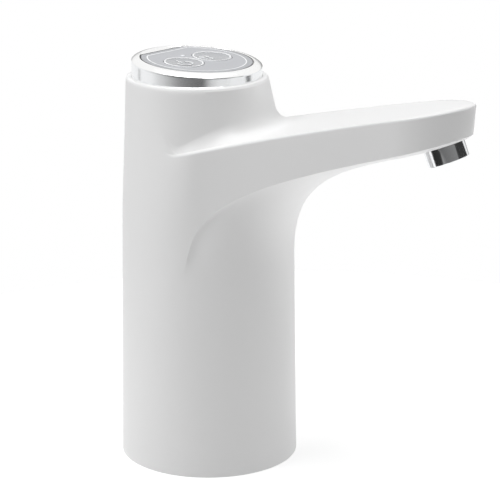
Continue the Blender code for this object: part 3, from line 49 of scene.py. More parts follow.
past = 3 * mm  # how far a cutter runs out of its solid
cornerReach = 0.45  # how much of a side the round at each of its ends may take
print("stage: frame loaded")


# Numbers: lengths in millimetres, even steps and rounds

def lengths(**values):
    return {name: tuple(v * mm for v in value) if isinstance(value, tuple) else value * mm
            for name, value in values.items()}


def spread(low, high, steps):
    # Even steps up to high, without low itself
    return [low + (high - low) * n / steps for n in range(1, steps + 1)]


def quarter(size, steps):
    # How far in and how far up each step of a quarter round lies
    return [(size * (1 - math.cos(t)), size * math.sin(t)) for t in spread(0, math.pi / 2, steps)]


def bend(a, b, c, t):
    return a * (1 - t) ** 2 + b * 2 * t * (1 - t) + c * t ** 2


def polar(radius, turn):
    return radius * math.cos(turn), radius * math.sin(turn)


def ease(share):
    held = min(max(share, 0), 1)
    return held * held * (3 - 2 * held)


# Mesh helpers

def meshFrom(name, verts, faces):
    mesh = bpy.data.meshes.new(name)
    mesh.from_pydata([tuple(v) for v in verts], [], faces)
    mesh.update()
    return mesh


def tidyMesh(mesh, place=None):
    bm = bmesh.new()
    bm.from_mesh(mesh)
    bmesh.ops.recalc_face_normals(bm, faces=bm.faces)
    if place:
        bmesh.ops.transform(bm, matrix=place, verts=bm.verts)
    bm.to_mesh(mesh)
    bm.free()
    return mesh


def linkPiece(name, mesh):
    piece = bpy.data.objects.new(name, mesh)
    bpy.context.scene.collection.objects.link(piece)
    return piece


def finishPiece(piece, body, materials=(), nodes=(), degrees=32):
    for polygon in piece.data.polygons:
        polygon.use_smooth = True
    piece.data.set_sharp_from_angle(angle=math.radians(degrees))
    for material in materials:
        piece.data.materials.append(material)
    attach(piece, body)
    if nodes:
        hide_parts(*nodes)


def bakedMesh(piece):
    # The piece with its modifiers applied, as a plain mesh
    shown = piece.evaluated_get(bpy.context.evaluated_depsgraph_get())
    return bpy.data.meshes.new_from_object(shown)


def combine(piece, tool, operation):
    change = piece.modifiers.new("change", "BOOLEAN")
    change.object = tool
    change.operation = operation
    change.solver = "EXACT"
    result = bakedMesh(piece)
    piece.modifiers.clear()
    old = piece.data
    piece.data = result
    bpy.data.meshes.remove(old)
    bpy.data.objects.remove(tool, do_unlink=True)


def cutWith(piece, mesh, place=None):
    combine(piece, linkPiece("cutter", tidyMesh(mesh, place)), "DIFFERENCE")


def joinWith(piece, mesh, place=None):
    combine(piece, linkPiece("joiner", tidyMesh(mesh, place)), "UNION")


def skinOf(name, rings, closed=False):
    # Rings of equal count joined row by row, with flat ends unless the rows close on themselves
    verts = [point for ring in rings for point in ring]
    count, rows = len(rings[0]), len(rings)
    faces = []
    for row in range(rows if closed else rows - 1):
        low, high = row * count, (row + 1) % rows * count
        for index in range(count):
            after = (index + 1) % count
            faces.append((low + index, low + after, high + after, high + index))
    if not closed:
        faces += [tuple(reversed(range(count))), tuple(range((rows - 1) * count, rows * count))]
    return tidyMesh(meshFrom(name, verts, faces))


def ringPoints(radius, z, sides, centre=0.0):
    turns = [math.tau * index / sides for index in range(sides)]
    return [(centre + radius * math.cos(t), radius * math.sin(t), z) for t in turns]


def spunMesh(name, profile, sides, ring=False):
    # A profile of (radius, height) turned about Z; a solid's profile starts and ends on the axis
    rows = profile if ring else profile[1:-1]
    return skinOf(name, [ringPoints(r, z, sides) for r, z in rows], closed=ring)


def rodMesh(name, radius, low, high, sides):
    return skinOf(name, [ringPoints(radius, z, sides) for z in (low, high)])


def roundedProfile(points, radius, steps=4):
    # Each corner of a profile of (radius, height) is given a small round of its own
    shaped = []
    for index, (r, z, *own) in enumerate(points):
        here = Vector((r, z))
        size = own[0] if own else radius
        before = Vector(points[index - 1][:2]) - here
        after = Vector(points[(index + 1) % len(points)][:2]) - here
        reach = min(size, before.length * cornerReach, after.length * cornerReach)
        if size == 0 or reach < 1e-7:
            shaped.append((r, z))
            continue
        first, last = here + before.normalized() * reach, here + after.normalized() * reach
        shaped += [tuple(bend(first, here, last, step / steps)) for step in range(steps + 1)]
    return shaped


def extrudeOutline(name, outline, low, high):
    return skinOf(name, [[(x, y, z) for x, y in outline] for z in (low, high)])


def boxMesh(name, low, high):
    outline = [(low[0], low[1]), (high[0], low[1]), (high[0], high[1]), (low[0], high[1])]
    return extrudeOutline(name, outline, low[2], high[2])


# Node helpers

def setInputs(tree, node, values):
    # Each input is linked to a socket or a node's first output, or else set to a value
    for name, value in values.items():
        if isinstance(value, bpy.types.Node):
            value = value.outputs[0]
        if isinstance(value, bpy.types.NodeSocket):
            tree.links.new(value, node.inputs[name])
        else:
            node.inputs[name].default_value = value


def addNode(tree, kind, values=None, **settings):
    node = tree.nodes.new(kind)
    for name, value in settings.items():
        setattr(node, name, value)
    setInputs(tree, node, values or {})
    return node


def newMaterial(name):
    material = bpy.data.materials.new(name)
    material.use_nodes = True
    return material, material.node_tree


def newGroup(name, inputs):
    group = bpy.data.node_groups.new(name, "GeometryNodeTree")
    group.interface.new_socket("Geometry", in_out="OUTPUT", socket_type="NodeSocketGeometry")
    for title, kind in {"Geometry": "Geometry", **inputs, "Finish": "Material"}.items():
        group.interface.new_socket(title, in_out="INPUT", socket_type="NodeSocket" + kind)
    return group, addNode(group, "NodeGroupInput").outputs


def endGroup(group, source, start):
    # Every group ends in real geometry that carries its own finish
    real = addNode(group, "GeometryNodeRealizeInstances", {0: source})
    painted = addNode(group, "GeometryNodeSetMaterial", {"Geometry": real, "Material": start["Finish"]})
    addNode(group, "NodeGroupOutput", {0: painted})
    return group


def grownPiece(name, group, base, values, unit=None):
    piece = linkPiece(name, base)
    change = piece.modifiers.new("grow", "NODES")
    change.node_group = group
    given = {**values, "Unit": unit}
    for item in group.interface.items_tree:
        if item.in_out == "INPUT" and item.name in given:
            change[item.identifier] = given[item.name]
    result = bakedMesh(piece)
    piece.modifiers.clear()
    piece.data = result
    bpy.data.meshes.remove(base)
    if unit:
        bpy.data.objects.remove(unit, do_unlink=True)
    return piece


def aroundGroup():
    # A unit repeated round an axis, in rows one above the other
    group, start = newGroup("repeatAround", {
        "Unit": "Object", "Count": "Int", "Radius": "Float", "Rows": "Int", "First Height": "Float",
        "Row Pitch": "Float"})
    unit = addNode(group, "GeometryNodeObjectInfo", {"Object": start["Unit"]})
    circle = addNode(group, "GeometryNodeMeshCircle", {"Vertices": start["Count"], "Radius": start["Radius"]})
    spot = addNode(group, "GeometryNodeInputPosition")
    turn = addNode(group, "FunctionNodeAlignRotationToVector", {"Vector": spot}, axis="X")
    ring = addNode(group, "GeometryNodeInstanceOnPoints",
                   {"Points": circle, "Instance": unit.outputs["Geometry"], "Rotation": turn})
    first = addNode(group, "ShaderNodeCombineXYZ", {"Z": start["First Height"]})
    pitch = addNode(group, "ShaderNodeCombineXYZ", {"Z": start["Row Pitch"]})
    stack = addNode(group, "GeometryNodeMeshLine",
                    {"Count": start["Rows"], "Start Location": first, "Offset": pitch})
    rows = addNode(group, "GeometryNodeInstanceOnPoints", {"Points": stack, "Instance": ring})
    return endGroup(group, rows, start)


def scatterGroup():
    # A unit set on each given point, each turned a little further about its own axis
    group, start = newGroup("setOnPoints", {"Unit": "Object", "Turn Step": "Float"})
    unit = addNode(group, "GeometryNodeObjectInfo", {"Object": start["Unit"]})
    index = addNode(group, "GeometryNodeInputIndex")
    product = addNode(group, "ShaderNodeMath", {0: index, 1: start["Turn Step"]}, operation="MULTIPLY")
    angles = addNode(group, "ShaderNodeCombineXYZ", {"Z": product})
    turn = addNode(group, "FunctionNodeEulerToRotation", {0: angles})
    placed = addNode(group, "GeometryNodeInstanceOnPoints",
                     {"Points": start["Geometry"], "Instance": unit.outputs["Geometry"], "Rotation": turn})
    return endGroup(group, placed, start)


def drilledGroup():
    # A disc with one hole at its centre and two rings of holes round it
    group, start = newGroup("drilledDisc", {
        "Radius": "Float", "Height": "Float", "Hole Radius": "Float", "Ring Pitch": "Float"})
    disc = addNode(group, "GeometryNodeMeshCylinder",
                   {"Vertices": 96, "Radius": start["Radius"], "Depth": start["Height"]})
    double = addNode(group, "ShaderNodeMath", {0: start["Height"], 1: 2}, operation="MULTIPLY")
    drill = addNode(group, "GeometryNodeMeshCylinder",
                    {"Vertices": 20, "Radius": start["Hole Radius"], "Depth": double})
    gather = addNode(group, "GeometryNodeJoinGeometry")
    for ring, count in ((0, 3), (1, 6), (2, 12)):
        scale = addNode(group, "ShaderNodeMath", {0: start["Ring Pitch"], 1: ring}, operation="MULTIPLY")
        circle = addNode(group, "GeometryNodeMeshCircle", {"Vertices": count, "Radius": scale})
        group.links.new(circle.outputs[0], gather.inputs[0])
    merged = addNode(group, "GeometryNodeMergeByDistance", {"Geometry": gather})
    holes = addNode(group, "GeometryNodeInstanceOnPoints", {"Points": merged, "Instance": drill})
    real = addNode(group, "GeometryNodeRealizeInstances", {0: holes})
    drilled = addNode(group, "GeometryNodeMeshBoolean", {"Mesh 1": disc, "Mesh 2": real},
                      operation="DIFFERENCE", solver="EXACT")
    return endGroup(group, drilled, start)


# Materials: every finish starts from one recipe, with its own grain, tone and bump

def finish(name, colour, metallic=0.0, roughness=0.4, grain=900.0, stretch=(1, 1, 1), roughVary=0.06,
           toneVary=0.03, bump=0.02, bumpDepth=0.05, coat=0.0, sheen=0.0, broad=60.0):
    material, tree = newMaterial(name)
    place = addNode(tree, "ShaderNodeTexCoord").outputs["Object"]
    mapping = addNode(tree, "ShaderNodeMapping", {"Vector": place, "Scale": stretch})
    fine = addNode(tree, "ShaderNodeTexNoise", {"Vector": mapping, "Scale": grain, "Detail": 4})
    wide = addNode(tree, "ShaderNodeTexNoise", {"Vector": place, "Scale": broad, "Detail": 3})
    dark, light = [(*[min(c * (1 + vary), 1) for c in colour], 1) for vary in (-toneVary, toneVary)]
    tone = addNode(tree, "ShaderNodeMix", {"Factor": wide, "A": dark, "B": light}, data_type="RGBA")
    rough = addNode(tree, "ShaderNodeMapRange", {"Value": fine, "To Min": max(roughness - roughVary, 0.02),
                                                 "To Max": roughness + roughVary})
    lift = addNode(tree, "ShaderNodeBump", {"Height": fine, "Strength": bump, "Distance": bumpDepth * mm})
    setInputs(tree, tree.nodes["Principled BSDF"], {
        "Metallic": metallic, "Coat Weight": coat, "Coat Roughness": 0.08, "Sheen Weight": sheen,
        "Base Color": tone.outputs["Result"], "Roughness": rough, "Normal": lift})
    material.diffuse_color = (*colour, 1)
    return material


whiteGloss = finish("whiteGloss", (0.86, 0.86, 0.86), roughness=0.42, grain=1500, roughVary=0.05,
                    toneVary=0.006, bump=0.05, bumpDepth=0.02, broad=25)
whiteInner = finish("whiteInner", (0.78, 0.78, 0.76), roughness=0.5, grain=1200, toneVary=0.02, bump=0.1)
chromeBand = finish("chromeBand", (0.86, 0.87, 0.88), metallic=1, roughness=0.17, grain=60,
                    stretch=(1, 1, 90), toneVary=0.02, bump=0.12, bumpDepth=0.012)
chromeBright = finish("chromeBright", (0.915, 0.915, 0.91), metallic=1, roughness=0.2, grain=400,
                      roughVary=0.04, toneVary=0.01, bumpDepth=0.01)
chromeTube = finish("chromeTube", (0.84, 0.85, 0.86), metallic=1, roughness=0.13, grain=500,
                    roughVary=0.04, toneVary=0.02, bump=0.03, bumpDepth=0.01)
panelSilver = finish("panelSilver", (0.44, 0.45, 0.475), metallic=0.3, roughness=0.34, grain=2600,
                     roughVary=0.08, bump=0.06, bumpDepth=0.01, coat=0.08)
panelEdge = finish("panelEdge", (0.38, 0.39, 0.41), metallic=0.3, roughness=0.34, grain=2600,
                   bump=0.06, bumpDepth=0.01, coat=0.08)
# The panel's side and rounded top edge are painted near black: painted shade for the gap round the panel
panelSide = finish("panelSide", (0.1, 0.1, 0.105), metallic=0.3, roughness=0.4, grain=2600, toneVary=0.05)
printWhite = finish("printWhite", (0.88, 0.89, 0.9), roughness=0.35, grain=3000, toneVary=0.01)
keySilver = finish("keySilver", (0.36, 0.37, 0.39), metallic=0.45, roughness=0.2, grain=2600,
                   roughVary=0.05, bump=0.05, bumpDepth=0.01, coat=0.25)
lightWhite = finish("lightWhite", (0.93, 0.95, 0.98), roughness=0.15, grain=2000, toneVary=0.01,
                    bump=0.01, coat=0.5)
plainSteel = finish("plainSteel", (0.62, 0.62, 0.63), metallic=1, roughness=0.3, grain=700,
                    stretch=(1, 1, 6), roughVary=0.08, toneVary=0.04, bump=0.08, bumpDepth=0.02)
blackMould = finish("blackMould", (0.03, 0.03, 0.032), roughness=0.45, grain=1600, toneVary=0.1, bump=0.15)
greyMould = finish("greyMould", (0.35, 0.36, 0.37), roughness=0.5, grain=1600, toneVary=0.05, bump=0.12)
contactGold = finish("contactGold", (0.83, 0.62, 0.28), metallic=1, roughness=0.25)
softSilicone = finish("softSilicone", (0.8, 0.81, 0.81), roughness=0.55, grain=1100, toneVary=0.02,
                      bump=0.1, sheen=0.1)
blackRubber = finish("blackRubber", (0.022, 0.022, 0.023), roughness=0.75, grain=1800, toneVary=0.15,
                     bump=0.25, sheen=0.1)
boardGreen = finish("boardGreen", (0.03, 0.2, 0.09), roughness=0.38, grain=700, toneVary=0.15, bump=0.1,
                    coat=0.3)
cellWrap = finish("cellWrap", (0.05, 0.2, 0.55), roughness=0.32, grain=500, toneVary=0.06, bump=0.05,
                  coat=0.3)
wireRed = finish("wireRed", (0.6, 0.03, 0.03), roughness=0.5, grain=2000, toneVary=0.05, bump=0.1)
wireBlack = finish("wireBlack", (0.03, 0.03, 0.03), roughness=0.5, grain=2000, toneVary=0.1, bump=0.1)

# The carried nodes' finishes; every other one is plain steel
nodeFinishes = {}
for chosen, names in (
        (whiteInner, "inner_frame valve_plate drive_rotor nozzle_elbow"), (greyMould, "wobble_yoke"),
        (blackMould, "pump_head crank_case motor_end_cap key_guide power_switch flow_switch"),
        (blackRubber, "pump_damper pump_diaphragm motor_sleeve nozzle_seal"), (cellWrap, "battery_cell"),
        (softSilicone, "inlet_hose outlet_hose"), (boardGreen, "control_board charge_board"),
        (wireBlack, "motor_lead_black battery_lead_black"), (wireRed, "motor_lead_red battery_lead_red")):
    nodeFinishes.update(dict.fromkeys(names.split(), chosen))
print("stage: finishes made")


# Housing: the column and the spout arm in one skin

housing = lengths(
    baseRadius=35, wall=2.5, scoopLowZ=80, taperStartZ=98, rimZ=151.2, rimRadius=27.4, rimShift=4.5, rimLip=1,
    rimLand=0.8, flangeLowZ=140.2, flangeThickness=2.4, flangeWidth=2.6, pocketRadius=25.38, reach=108.1,
    rootTopZ=126.6, tipTopZ=149.8, topSag=1.1, shoulderX=84, shoulderHalf=19.4, wallRootHandle=17.6,
    wallShoulderHandle=17.2, noseShoulderHandle=15.6, noseTipHandle=4.45, tipLowZ=138.4, creaseRootX=6.6,
    creaseRootPull=(0, 30.5), creaseTipPull=(81.4, 21.5), scoopFrontZ=82, scoopFrontPull=26,
    scoopKnee=(86, 129.6), scoopKneePull=(39, 10.41), scoopNosePull=8, scoopTipPull=(4.5, 2.7), recess=18,
    recessRise=9, recessFadeZ=124, edgeFillet=1.2, ledgeFillet=7.2, ledgeRunOut=12,
) | {
    "draft": 0.0155, "taperPower": 1.35, "wallAngle": math.radians(18.7), "shoulderSlope": 0.09,
    "noseDraft": -0.075, "recessSpan": math.radians(44), "recessPower": 6, "frontPull": 0.9, "sidePull": 0.25,
    "footShare": 0.9, "ledgeFront": math.radians(35), "ledgeSide": math.radians(65),
    "ledgeFade": math.radians(84), "ledgeTip": math.radians(102), "ledgeEnd": math.radians(109),
    "noseSteps": 24, "wallSteps": 48, "arcSteps": 56, "columnRows": 8, "scoopRows": 44, "wallRows": 8,
    "edgeRows": 6, "topRows": 12, "ledgeRows": 12, "upperRows": 12, "curveSteps": 480, "hollowSteps": 12,
    "hollowSides": 128, "hollowShares": (-1, -0.8, -0.5, -0.2, 0.2, 0.5, 0.8, 1), "searchSteps": 24,
}


def bezierPoints(a, b, c, d):
    shares = [step / housing["curveSteps"] for step in range(housing["curveSteps"] + 1)]
    return [a * (1 - t) ** 3 + b * 3 * (1 - t) ** 2 * t + c * 3 * (1 - t) * t ** 2 + d * t ** 3
            for t in shares]


def readerOf(curve, known, wanted):
    # A curve read from one coordinate to the other, held at its ends
    keys = [point[known] for point in curve]
    values = [point[wanted] for point in curve]

    def read(value):
        if value <= keys[0]:
            return values[0]
        if value >= keys[-1]:
            return values[-1]
        index = bisect_left(keys, value)
        low, high = keys[index - 1], keys[index]
        share = (value - low) / (high - low) if high > low else 0
        return values[index - 1] + (values[index] - values[index - 1]) * share
    return read


def columnRadius(z):
    return housing["baseRadius"] - housing["draft"] * z


def topZ(x):
    share = max(x, 0) / housing["reach"]
    line = housing["rootTopZ"] + (housing["tipTopZ"] - housing["rootTopZ"]) * share
    return line + 4 * housing["topSag"] * share * (1 - share)


# The arm's outline from above, then its crease and its underside's middle line from the side
ledgeRadius = columnRadius(housing["rootTopZ"])
wallSin, wallCos = math.sin(housing["wallAngle"]), math.cos(housing["wallAngle"])
wallRoot = Vector((ledgeRadius * wallSin, ledgeRadius * wallCos))
wallTurn = Vector((wallCos, -wallSin))
shoulder = Vector((housing["shoulderX"], housing["shoulderHalf"]))
shoulderTurn = Vector((1, -housing["shoulderSlope"]))
spoutTip = Vector((housing["reach"], 0))
wallCurve = bezierPoints(wallRoot, wallRoot + wallTurn * housing["wallRootHandle"],
                         shoulder - shoulderTurn * housing["wallShoulderHandle"], shoulder)
noseCurve = bezierPoints(shoulder, shoulder + shoulderTurn * housing["noseShoulderHandle"],
                         spoutTip + Vector((0, housing["noseTipHandle"])), spoutTip)
planHalf = readerOf(wallCurve + noseCurve[1:], 0, 1)

creaseTip = Vector((housing["reach"], housing["tipLowZ"]))
creaseRoot = Vector((housing["creaseRootX"], housing["scoopLowZ"]))
creaseCurve = bezierPoints(creaseRoot, creaseRoot + Vector(housing["creaseRootPull"]),
                           creaseTip - Vector(housing["creaseTipPull"]), creaseTip)
creaseZ, creaseX = readerOf(creaseCurve, 0, 1), readerOf(creaseCurve, 1, 0)

scoopRoot = Vector((columnRadius(housing["scoopFrontZ"]), housing["scoopFrontZ"]))
knee, kneePull = Vector(housing["scoopKnee"]), Vector(housing["scoopKneePull"])
scoopPull = Vector((0, housing["scoopFrontPull"]))
scoopCurve = bezierPoints(scoopRoot, scoopRoot + scoopPull, knee - kneePull, knee)
scoopCurve += bezierPoints(knee, knee + kneePull.normalized() * housing["scoopNosePull"],
                           creaseTip - Vector(housing["scoopTipPull"]), creaseTip)[1:]
scoopX = readerOf(scoopCurve, 1, 0)


def section(z, inset=0.0):
    # The column's round section at a height, as its centre and radius
    start = housing["taperStartZ"]
    share = max((z - start) / (housing["rimZ"] - start), 0) ** housing["taperPower"]
    return -housing["rimShift"] * share, columnRadius(z) * (1 - share) + housing["rimRadius"] * share - inset


def sectionRadius(angle, z, inset=0.0):
    centre, radius = section(z, inset)
    across = centre * math.sin(angle)
    return centre * math.cos(angle) + math.sqrt(radius ** 2 - across ** 2)


def sideDraft(x):
    # The arm's sides spread downward, and its nose leans back toward its lower edge
    share = ease((x - housing["shoulderX"]) / (housing["reach"] - housing["shoulderX"]))
    return housing["draft"] * (1 - share) + housing["noseDraft"] * share


def halfWidth(x, z):
    if x < wallRoot.x:
        return math.sqrt(columnRadius(z) ** 2 - x ** 2)
    return planHalf(x) + sideDraft(x) * (topZ(x) - z)


def creaseDip(angle, z, creaseAngle):
    # Just inside the crease the underside dips a little, then eases back onto its arc
    share = (creaseAngle - angle) / housing["recessSpan"]
    if not 0 < share < 1:
        return 0.0
    height = ease((z - housing["scoopLowZ"]) / housing["recessRise"])
    height *= ease((housing["recessFadeZ"] - z) / (housing["recessFadeZ"] - housing["taperStartZ"]))
    return housing["recess"] * height * share * (1 - share) ** housing["recessPower"]


def scoopRadius(angle, z):
    # Level cuts through the underside are arcs from one crease over the front to the other
    front = columnRadius(z) if z <= housing["scoopFrontZ"] else scoopX(z)
    corner = creaseX(z)
    half = halfWidth(corner, z)
    depth = front - corner
    if depth < 1e-6:
        return front
    radius = (half ** 2 + depth ** 2) / (2 * depth)
    centre = front - radius
    across = min(abs(centre * math.sin(angle)), radius)
    reach = centre * math.cos(angle) + math.sqrt(radius ** 2 - across ** 2)
    return reach - creaseDip(abs(angle), z, math.atan2(half, corner))


def housingStations():
    # Directions round the column, from the spout's tip to the back
    steps, stations = housing["curveSteps"], []
    for curve, count, end in ((noseCurve, housing["noseSteps"], 0), (wallCurve, housing["wallSteps"], 1)):
        for spot in [curve[-1 - n * steps // count] for n in range(count + end)]:
            stations.append((math.atan2(spot.y, spot.x), spot.length, topZ(spot.x), 1.0, True))
    start = stations[-1][0]
    for angle in spread(start, math.pi, housing["arcSteps"]):
        height = topZ(ledgeRadius * math.cos(angle))
        hold = 1 - ease((angle - start) / (housing["ledgeEnd"] - start))
        radius = hold * columnRadius(height) + (1 - hold) * sectionRadius(angle, height)
        stations.append((angle, radius, height, hold, False))
    return stations


def stationRows(station):
    angle, edgeRadius, edgeZ, hold, onArm = station
    scoopLow, ledgeFillet, tip = housing["scoopLowZ"], housing["ledgeFillet"], housing["ledgeTip"]
    cornerX = edgeRadius * math.cos(angle)

    def wallAt(z):
        if onArm:
            return edgeRadius + sideDraft(cornerX) * (edgeZ - z)
        return hold * columnRadius(z) + (1 - hold) * sectionRadius(angle, z)

    def roofAt(radius):
        return topZ(radius * math.cos(angle))

    # Column, underside up to the crease, and side
    scooped = cornerX > housing["creaseRootX"]
    creaseHeight = creaseZ(max(cornerX, housing["creaseRootX"] * (1 + housing["draft"])))
    rows = [(columnRadius(z), z) for z in [0] + spread(0, scoopLow, housing["columnRows"])]
    for z in spread(scoopLow, creaseHeight, housing["scoopRows"])[:-1]:
        rows.append((min(scoopRadius(angle, z), wallAt(z)) if scooped else wallAt(z), z))
    fillet = housing["edgeFillet"]
    edgeLow = edgeZ - fillet
    rows += [(wallAt(z), z) for z in [creaseHeight] + spread(creaseHeight, edgeLow, housing["wallRows"])]

    # Edge round, top face and ledge round where the arm stands proud of the column
    joinZ = edgeZ
    for _ in range(6):
        joinZ = roofAt(sectionRadius(angle, joinZ))
    joinRadius = sectionRadius(angle, joinZ)
    size = min(fillet, max(edgeRadius - joinRadius, 0) / 2)
    innerEdge = edgeRadius - size
    footRadius = joinRadius + min(ledgeFillet, (innerEdge - joinRadius) * housing["footShare"])
    rise = fillet - (edgeZ - roofAt(innerEdge))
    proud = [(innerEdge + size * math.cos(turn), edgeLow + rise * math.sin(turn))
             for turn in spread(0, math.pi / 2, housing["edgeRows"])]
    proud += [(radius, roofAt(radius)) for radius in spread(innerEdge, footRadius, housing["topRows"])]
    grown = min(max((tip - angle) / (tip - housing["ledgeFront"]), 0), 1)
    headZ = joinZ + ledgeFillet * math.sin(math.pi / 2 * grown)
    sideShare = ease((angle - housing["ledgeFront"]) / (housing["ledgeSide"] - housing["ledgeFront"]))
    pull = housing["frontPull"] + (housing["sidePull"] - housing["frontPull"]) * sideShare
    radii = (footRadius, joinRadius, sectionRadius(angle, headZ))
    heights = (roofAt(footRadius), joinZ, headZ)
    for t in spread(0, 1, housing["ledgeRows"]):
        weights = ((1 - t) ** 2, 2 * t * (1 - t) * pull, t ** 2)
        proud.append(tuple(sum(w * v for w, v in zip(weights, values)) / sum(weights)
                           for values in (radii, heights)))

    # Toward its end the ledge melts into a soft slope that climbs the column's side
    proudShare = ease((tip - angle) / (tip - housing["ledgeFade"]))
    slopeRise = joinZ + housing["ledgeRunOut"] - edgeLow
    for index, (radius, z) in enumerate(proud, 1):
        share = index / len(proud)
        slopeZ = edgeLow + slopeRise * share
        inner = sectionRadius(angle, slopeZ)
        slope = inner + (wallAt(slopeZ) - inner) * (1 - ease(share))
        rows.append((slope + (radius - slope) * proudShare, slopeZ + (z - slopeZ) * proudShare))

    rimZ, lip = housing["rimZ"], housing["rimLip"]
    rows += [(sectionRadius(angle, z), z) for z in spread(rows[-1][1], rimZ - lip, housing["upperRows"])]
    rows += [(sectionRadius(angle, rimZ, inward), rimZ - lip + up)
             for inward, up in quarter(lip, housing["edgeRows"])]
    rows.append((sectionRadius(angle, rimZ, lip + housing["rimLand"]), rimZ))
    return rows


def keepCrease(mesh):
    # The edges along the crease stay crisp on both sides
    row, spots = housing["columnRows"] + housing["scoopRows"], set()

    def rounded(spot):
        return tuple(round(value / mm, 2) for value in spot)

    for station in housingStations():
        if station[1] * math.cos(station[0]) > housing["creaseRootX"]:
            radius, z = stationRows(station)[row]
            for angle in (station[0], -station[0]):
                spots.add(rounded(toColumn @ Vector((*polar(radius, angle), z))))
    onCrease = [rounded(vert.co) in spots for vert in mesh.vertices]
    sharp = mesh.attributes["sharp_edge"]
    for edge in mesh.edges:
        if onCrease[edge.vertices[0]] and onCrease[edge.vertices[1]]:
            sharp.data[edge.index].value = True


def housingSkin():
    half = [(station[0], stationRows(station)) for station in housingStations()]
    columns = half + [(-angle, rows) for angle, rows in half[-2:0:-1]]
    rings = [[(*polar(rows[row][0], angle), rows[row][1]) for angle, rows in columns]
             for row in range(len(half[0][1]))]
    mesh = skinOf("housingSkin", rings)
    bm = bmesh.new()
    bm.from_mesh(mesh)
    bmesh.ops.triangulate(bm, faces=bm.faces)
    bm.to_mesh(mesh)
    bm.free()
    return mesh


def undersideZ(x, y):
    angle, radius = math.atan2(y, x), math.hypot(x, y)
    low, high = housing["scoopFrontZ"], housing["tipLowZ"]
    for _ in range(housing["searchSteps"]):
        middle = (low + high) / 2
        if scoopRadius(angle, middle) < radius:
            low = middle
        else:
            high = middle
    return high


def armHollow():
    # The space inside the arm, cut square to the spout at steps along it
    wall = housing["wall"]
    clear = columnRadius(housing["scoopFrontZ"]) + 2 * wall
    rings = []
    for x in [wallRoot.x] + spread(wallRoot.x, housing["reach"] - 2 * wall, housing["hollowSteps"]):
        width, roof = planHalf(x) - wall, topZ(x) - wall
        ahead = max(x + wall, clear)
        aheadWidth = planHalf(ahead) - wall
        ring = [(x, width * share, undersideZ(ahead, aheadWidth * share) + wall)
                for share in housing["hollowShares"]]
        rings.append(ring + [(x, width, roof), (x, -width, roof)])
    return skinOf("armHollow", rings)


nozzle = lengths(
    mouth=(98.6, 0, 127.7), radius=7.9, wall=0.8, length=10.6, edge=0.3, bossLow=7.5, bossHigh=10.9,
    bossWall=1.4, insertRecess=1, insertHeight=2.6, holeRadius=0.6, ringPitch=2.5,
) | {"tilt": math.radians(21.5)}
nozzlePlace = toColumn @ Matrix.Translation(nozzle["mouth"]) @ Matrix.Rotation(-nozzle["tilt"], 4, "Y")
port = lengths(gap=0.3, wall=0.5, tongueHalfWide=3.3, tongueHalfHigh=0.35, tongueFrom=0.8, contactHalf=0.13,
               contactHalfHigh=0.04, contactLength=4.2, contactPitch=0.5, contactFrom=0.4) | {"contacts": 12}
bosses = lengths(pitch=27, radius=3.2, height=14, lowZ=43.8, hole=1.15, depth=8.3) | {
    "angles": (50, 130, 230, 310)}
sideways = Matrix.Rotation(math.pi / 2, 4, "Y") @ Matrix.Rotation(math.pi / 2, 4, "Z")


def slotMesh(name, halfWide, halfHigh, low, high):
    # A slot with round ends, halfWide along X and halfHigh along Y
    outline = []
    for side, first in ((1, -math.pi / 2), (-1, math.pi / 2)):
        for x, y in [polar(halfHigh, first + math.pi * step / 12) for step in range(13)]:
            outline.append((side * (halfWide - halfHigh) + x, y))
    return extrudeOutline(name, outline, low, high)


def buildHousing():
    shell = linkPiece("outerShell", housingSkin())
    wall, sides = housing["wall"], housing["hollowSides"]

    # The hollow column, the hollow arm and the pocket for the panel
    start, flangeLow, top = housing["taperStartZ"], housing["flangeLowZ"], housing["rimZ"] + past
    heights = [-past, start] + spread(start, flangeLow, housing["hollowSteps"])
    rings = [ringPoints(section(z, wall)[1], z, sides, section(z)[0]) for z in heights]
    cutWith(shell, skinOf("columnHollow", rings))
    cutWith(shell, armHollow())
    pocket = housing["pocketRadius"]
    step, flangeHigh = pocket - housing["flangeWidth"], flangeLow + housing["flangeThickness"]
    profile = [(0, flangeLow - past), (step, flangeLow - past), (step, flangeHigh), (pocket, flangeHigh),
               (pocket, top), (0, top)]
    cutWith(shell, spunMesh("panelPocket", profile, sides), Matrix.Translation((-housing["rimShift"], 0, 0)))

    # Screw bosses, round inside and running straight out into the wall
    low, radius = bosses["lowZ"], bosses["radius"]
    reach = columnRadius(low) - wall / 2 - bosses["pitch"]
    outline = [polar(radius, math.pi / 2 + math.pi * n / 16) for n in range(17)]
    outline += [(reach, -radius), (reach, radius)]
    for angle in [math.radians(degrees) for degrees in bosses["angles"]]:
        spot = Matrix.Translation((*polar(bosses["pitch"], angle), 0))
        joinWith(shell, extrudeOutline("boss", outline, low, low + bosses["height"]),
                 spot @ Matrix.Rotation(angle, 4, "Z"))
        cutWith(shell, rodMesh("bossHole", bosses["hole"], low - past, low + bosses["depth"], 16), spot)

    # The nozzle's boss inside the nose, its bore, and the rounded slot for the charging socket
    inner, bore = toColumn.inverted() @ nozzlePlace, nozzle["radius"] + gap
    low, high = nozzle["bossLow"], nozzle["bossHigh"]
    joinWith(shell, rodMesh("nozzleBoss", bore + nozzle["bossWall"], low, high, 64), inner)
    cutWith(shell, rodMesh("nozzleBore", bore, -past, high + past, 96), inner)
    low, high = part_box("charge_socket")
    halfWide, halfHigh = (high.y - low.y) / 2 + port["gap"], (high.z - low.z) / 2 + port["gap"]
    cutWith(shell, slotMesh("portSlot", halfWide, halfHigh, -past, past + wall),
            Matrix.Translation((low.x - axisX, 0, (low.z + high.z) / 2)) @ sideways)
    shell.data.transform(toColumn)
    finishPiece(shell, "housing", [whiteGloss], ["outer_shell"], 30)
    keepCrease(shell.data)


buildHousing()
print("stage: housing made")


# Trim ring: brushed band, bright bevel and the wider slice behind the panel

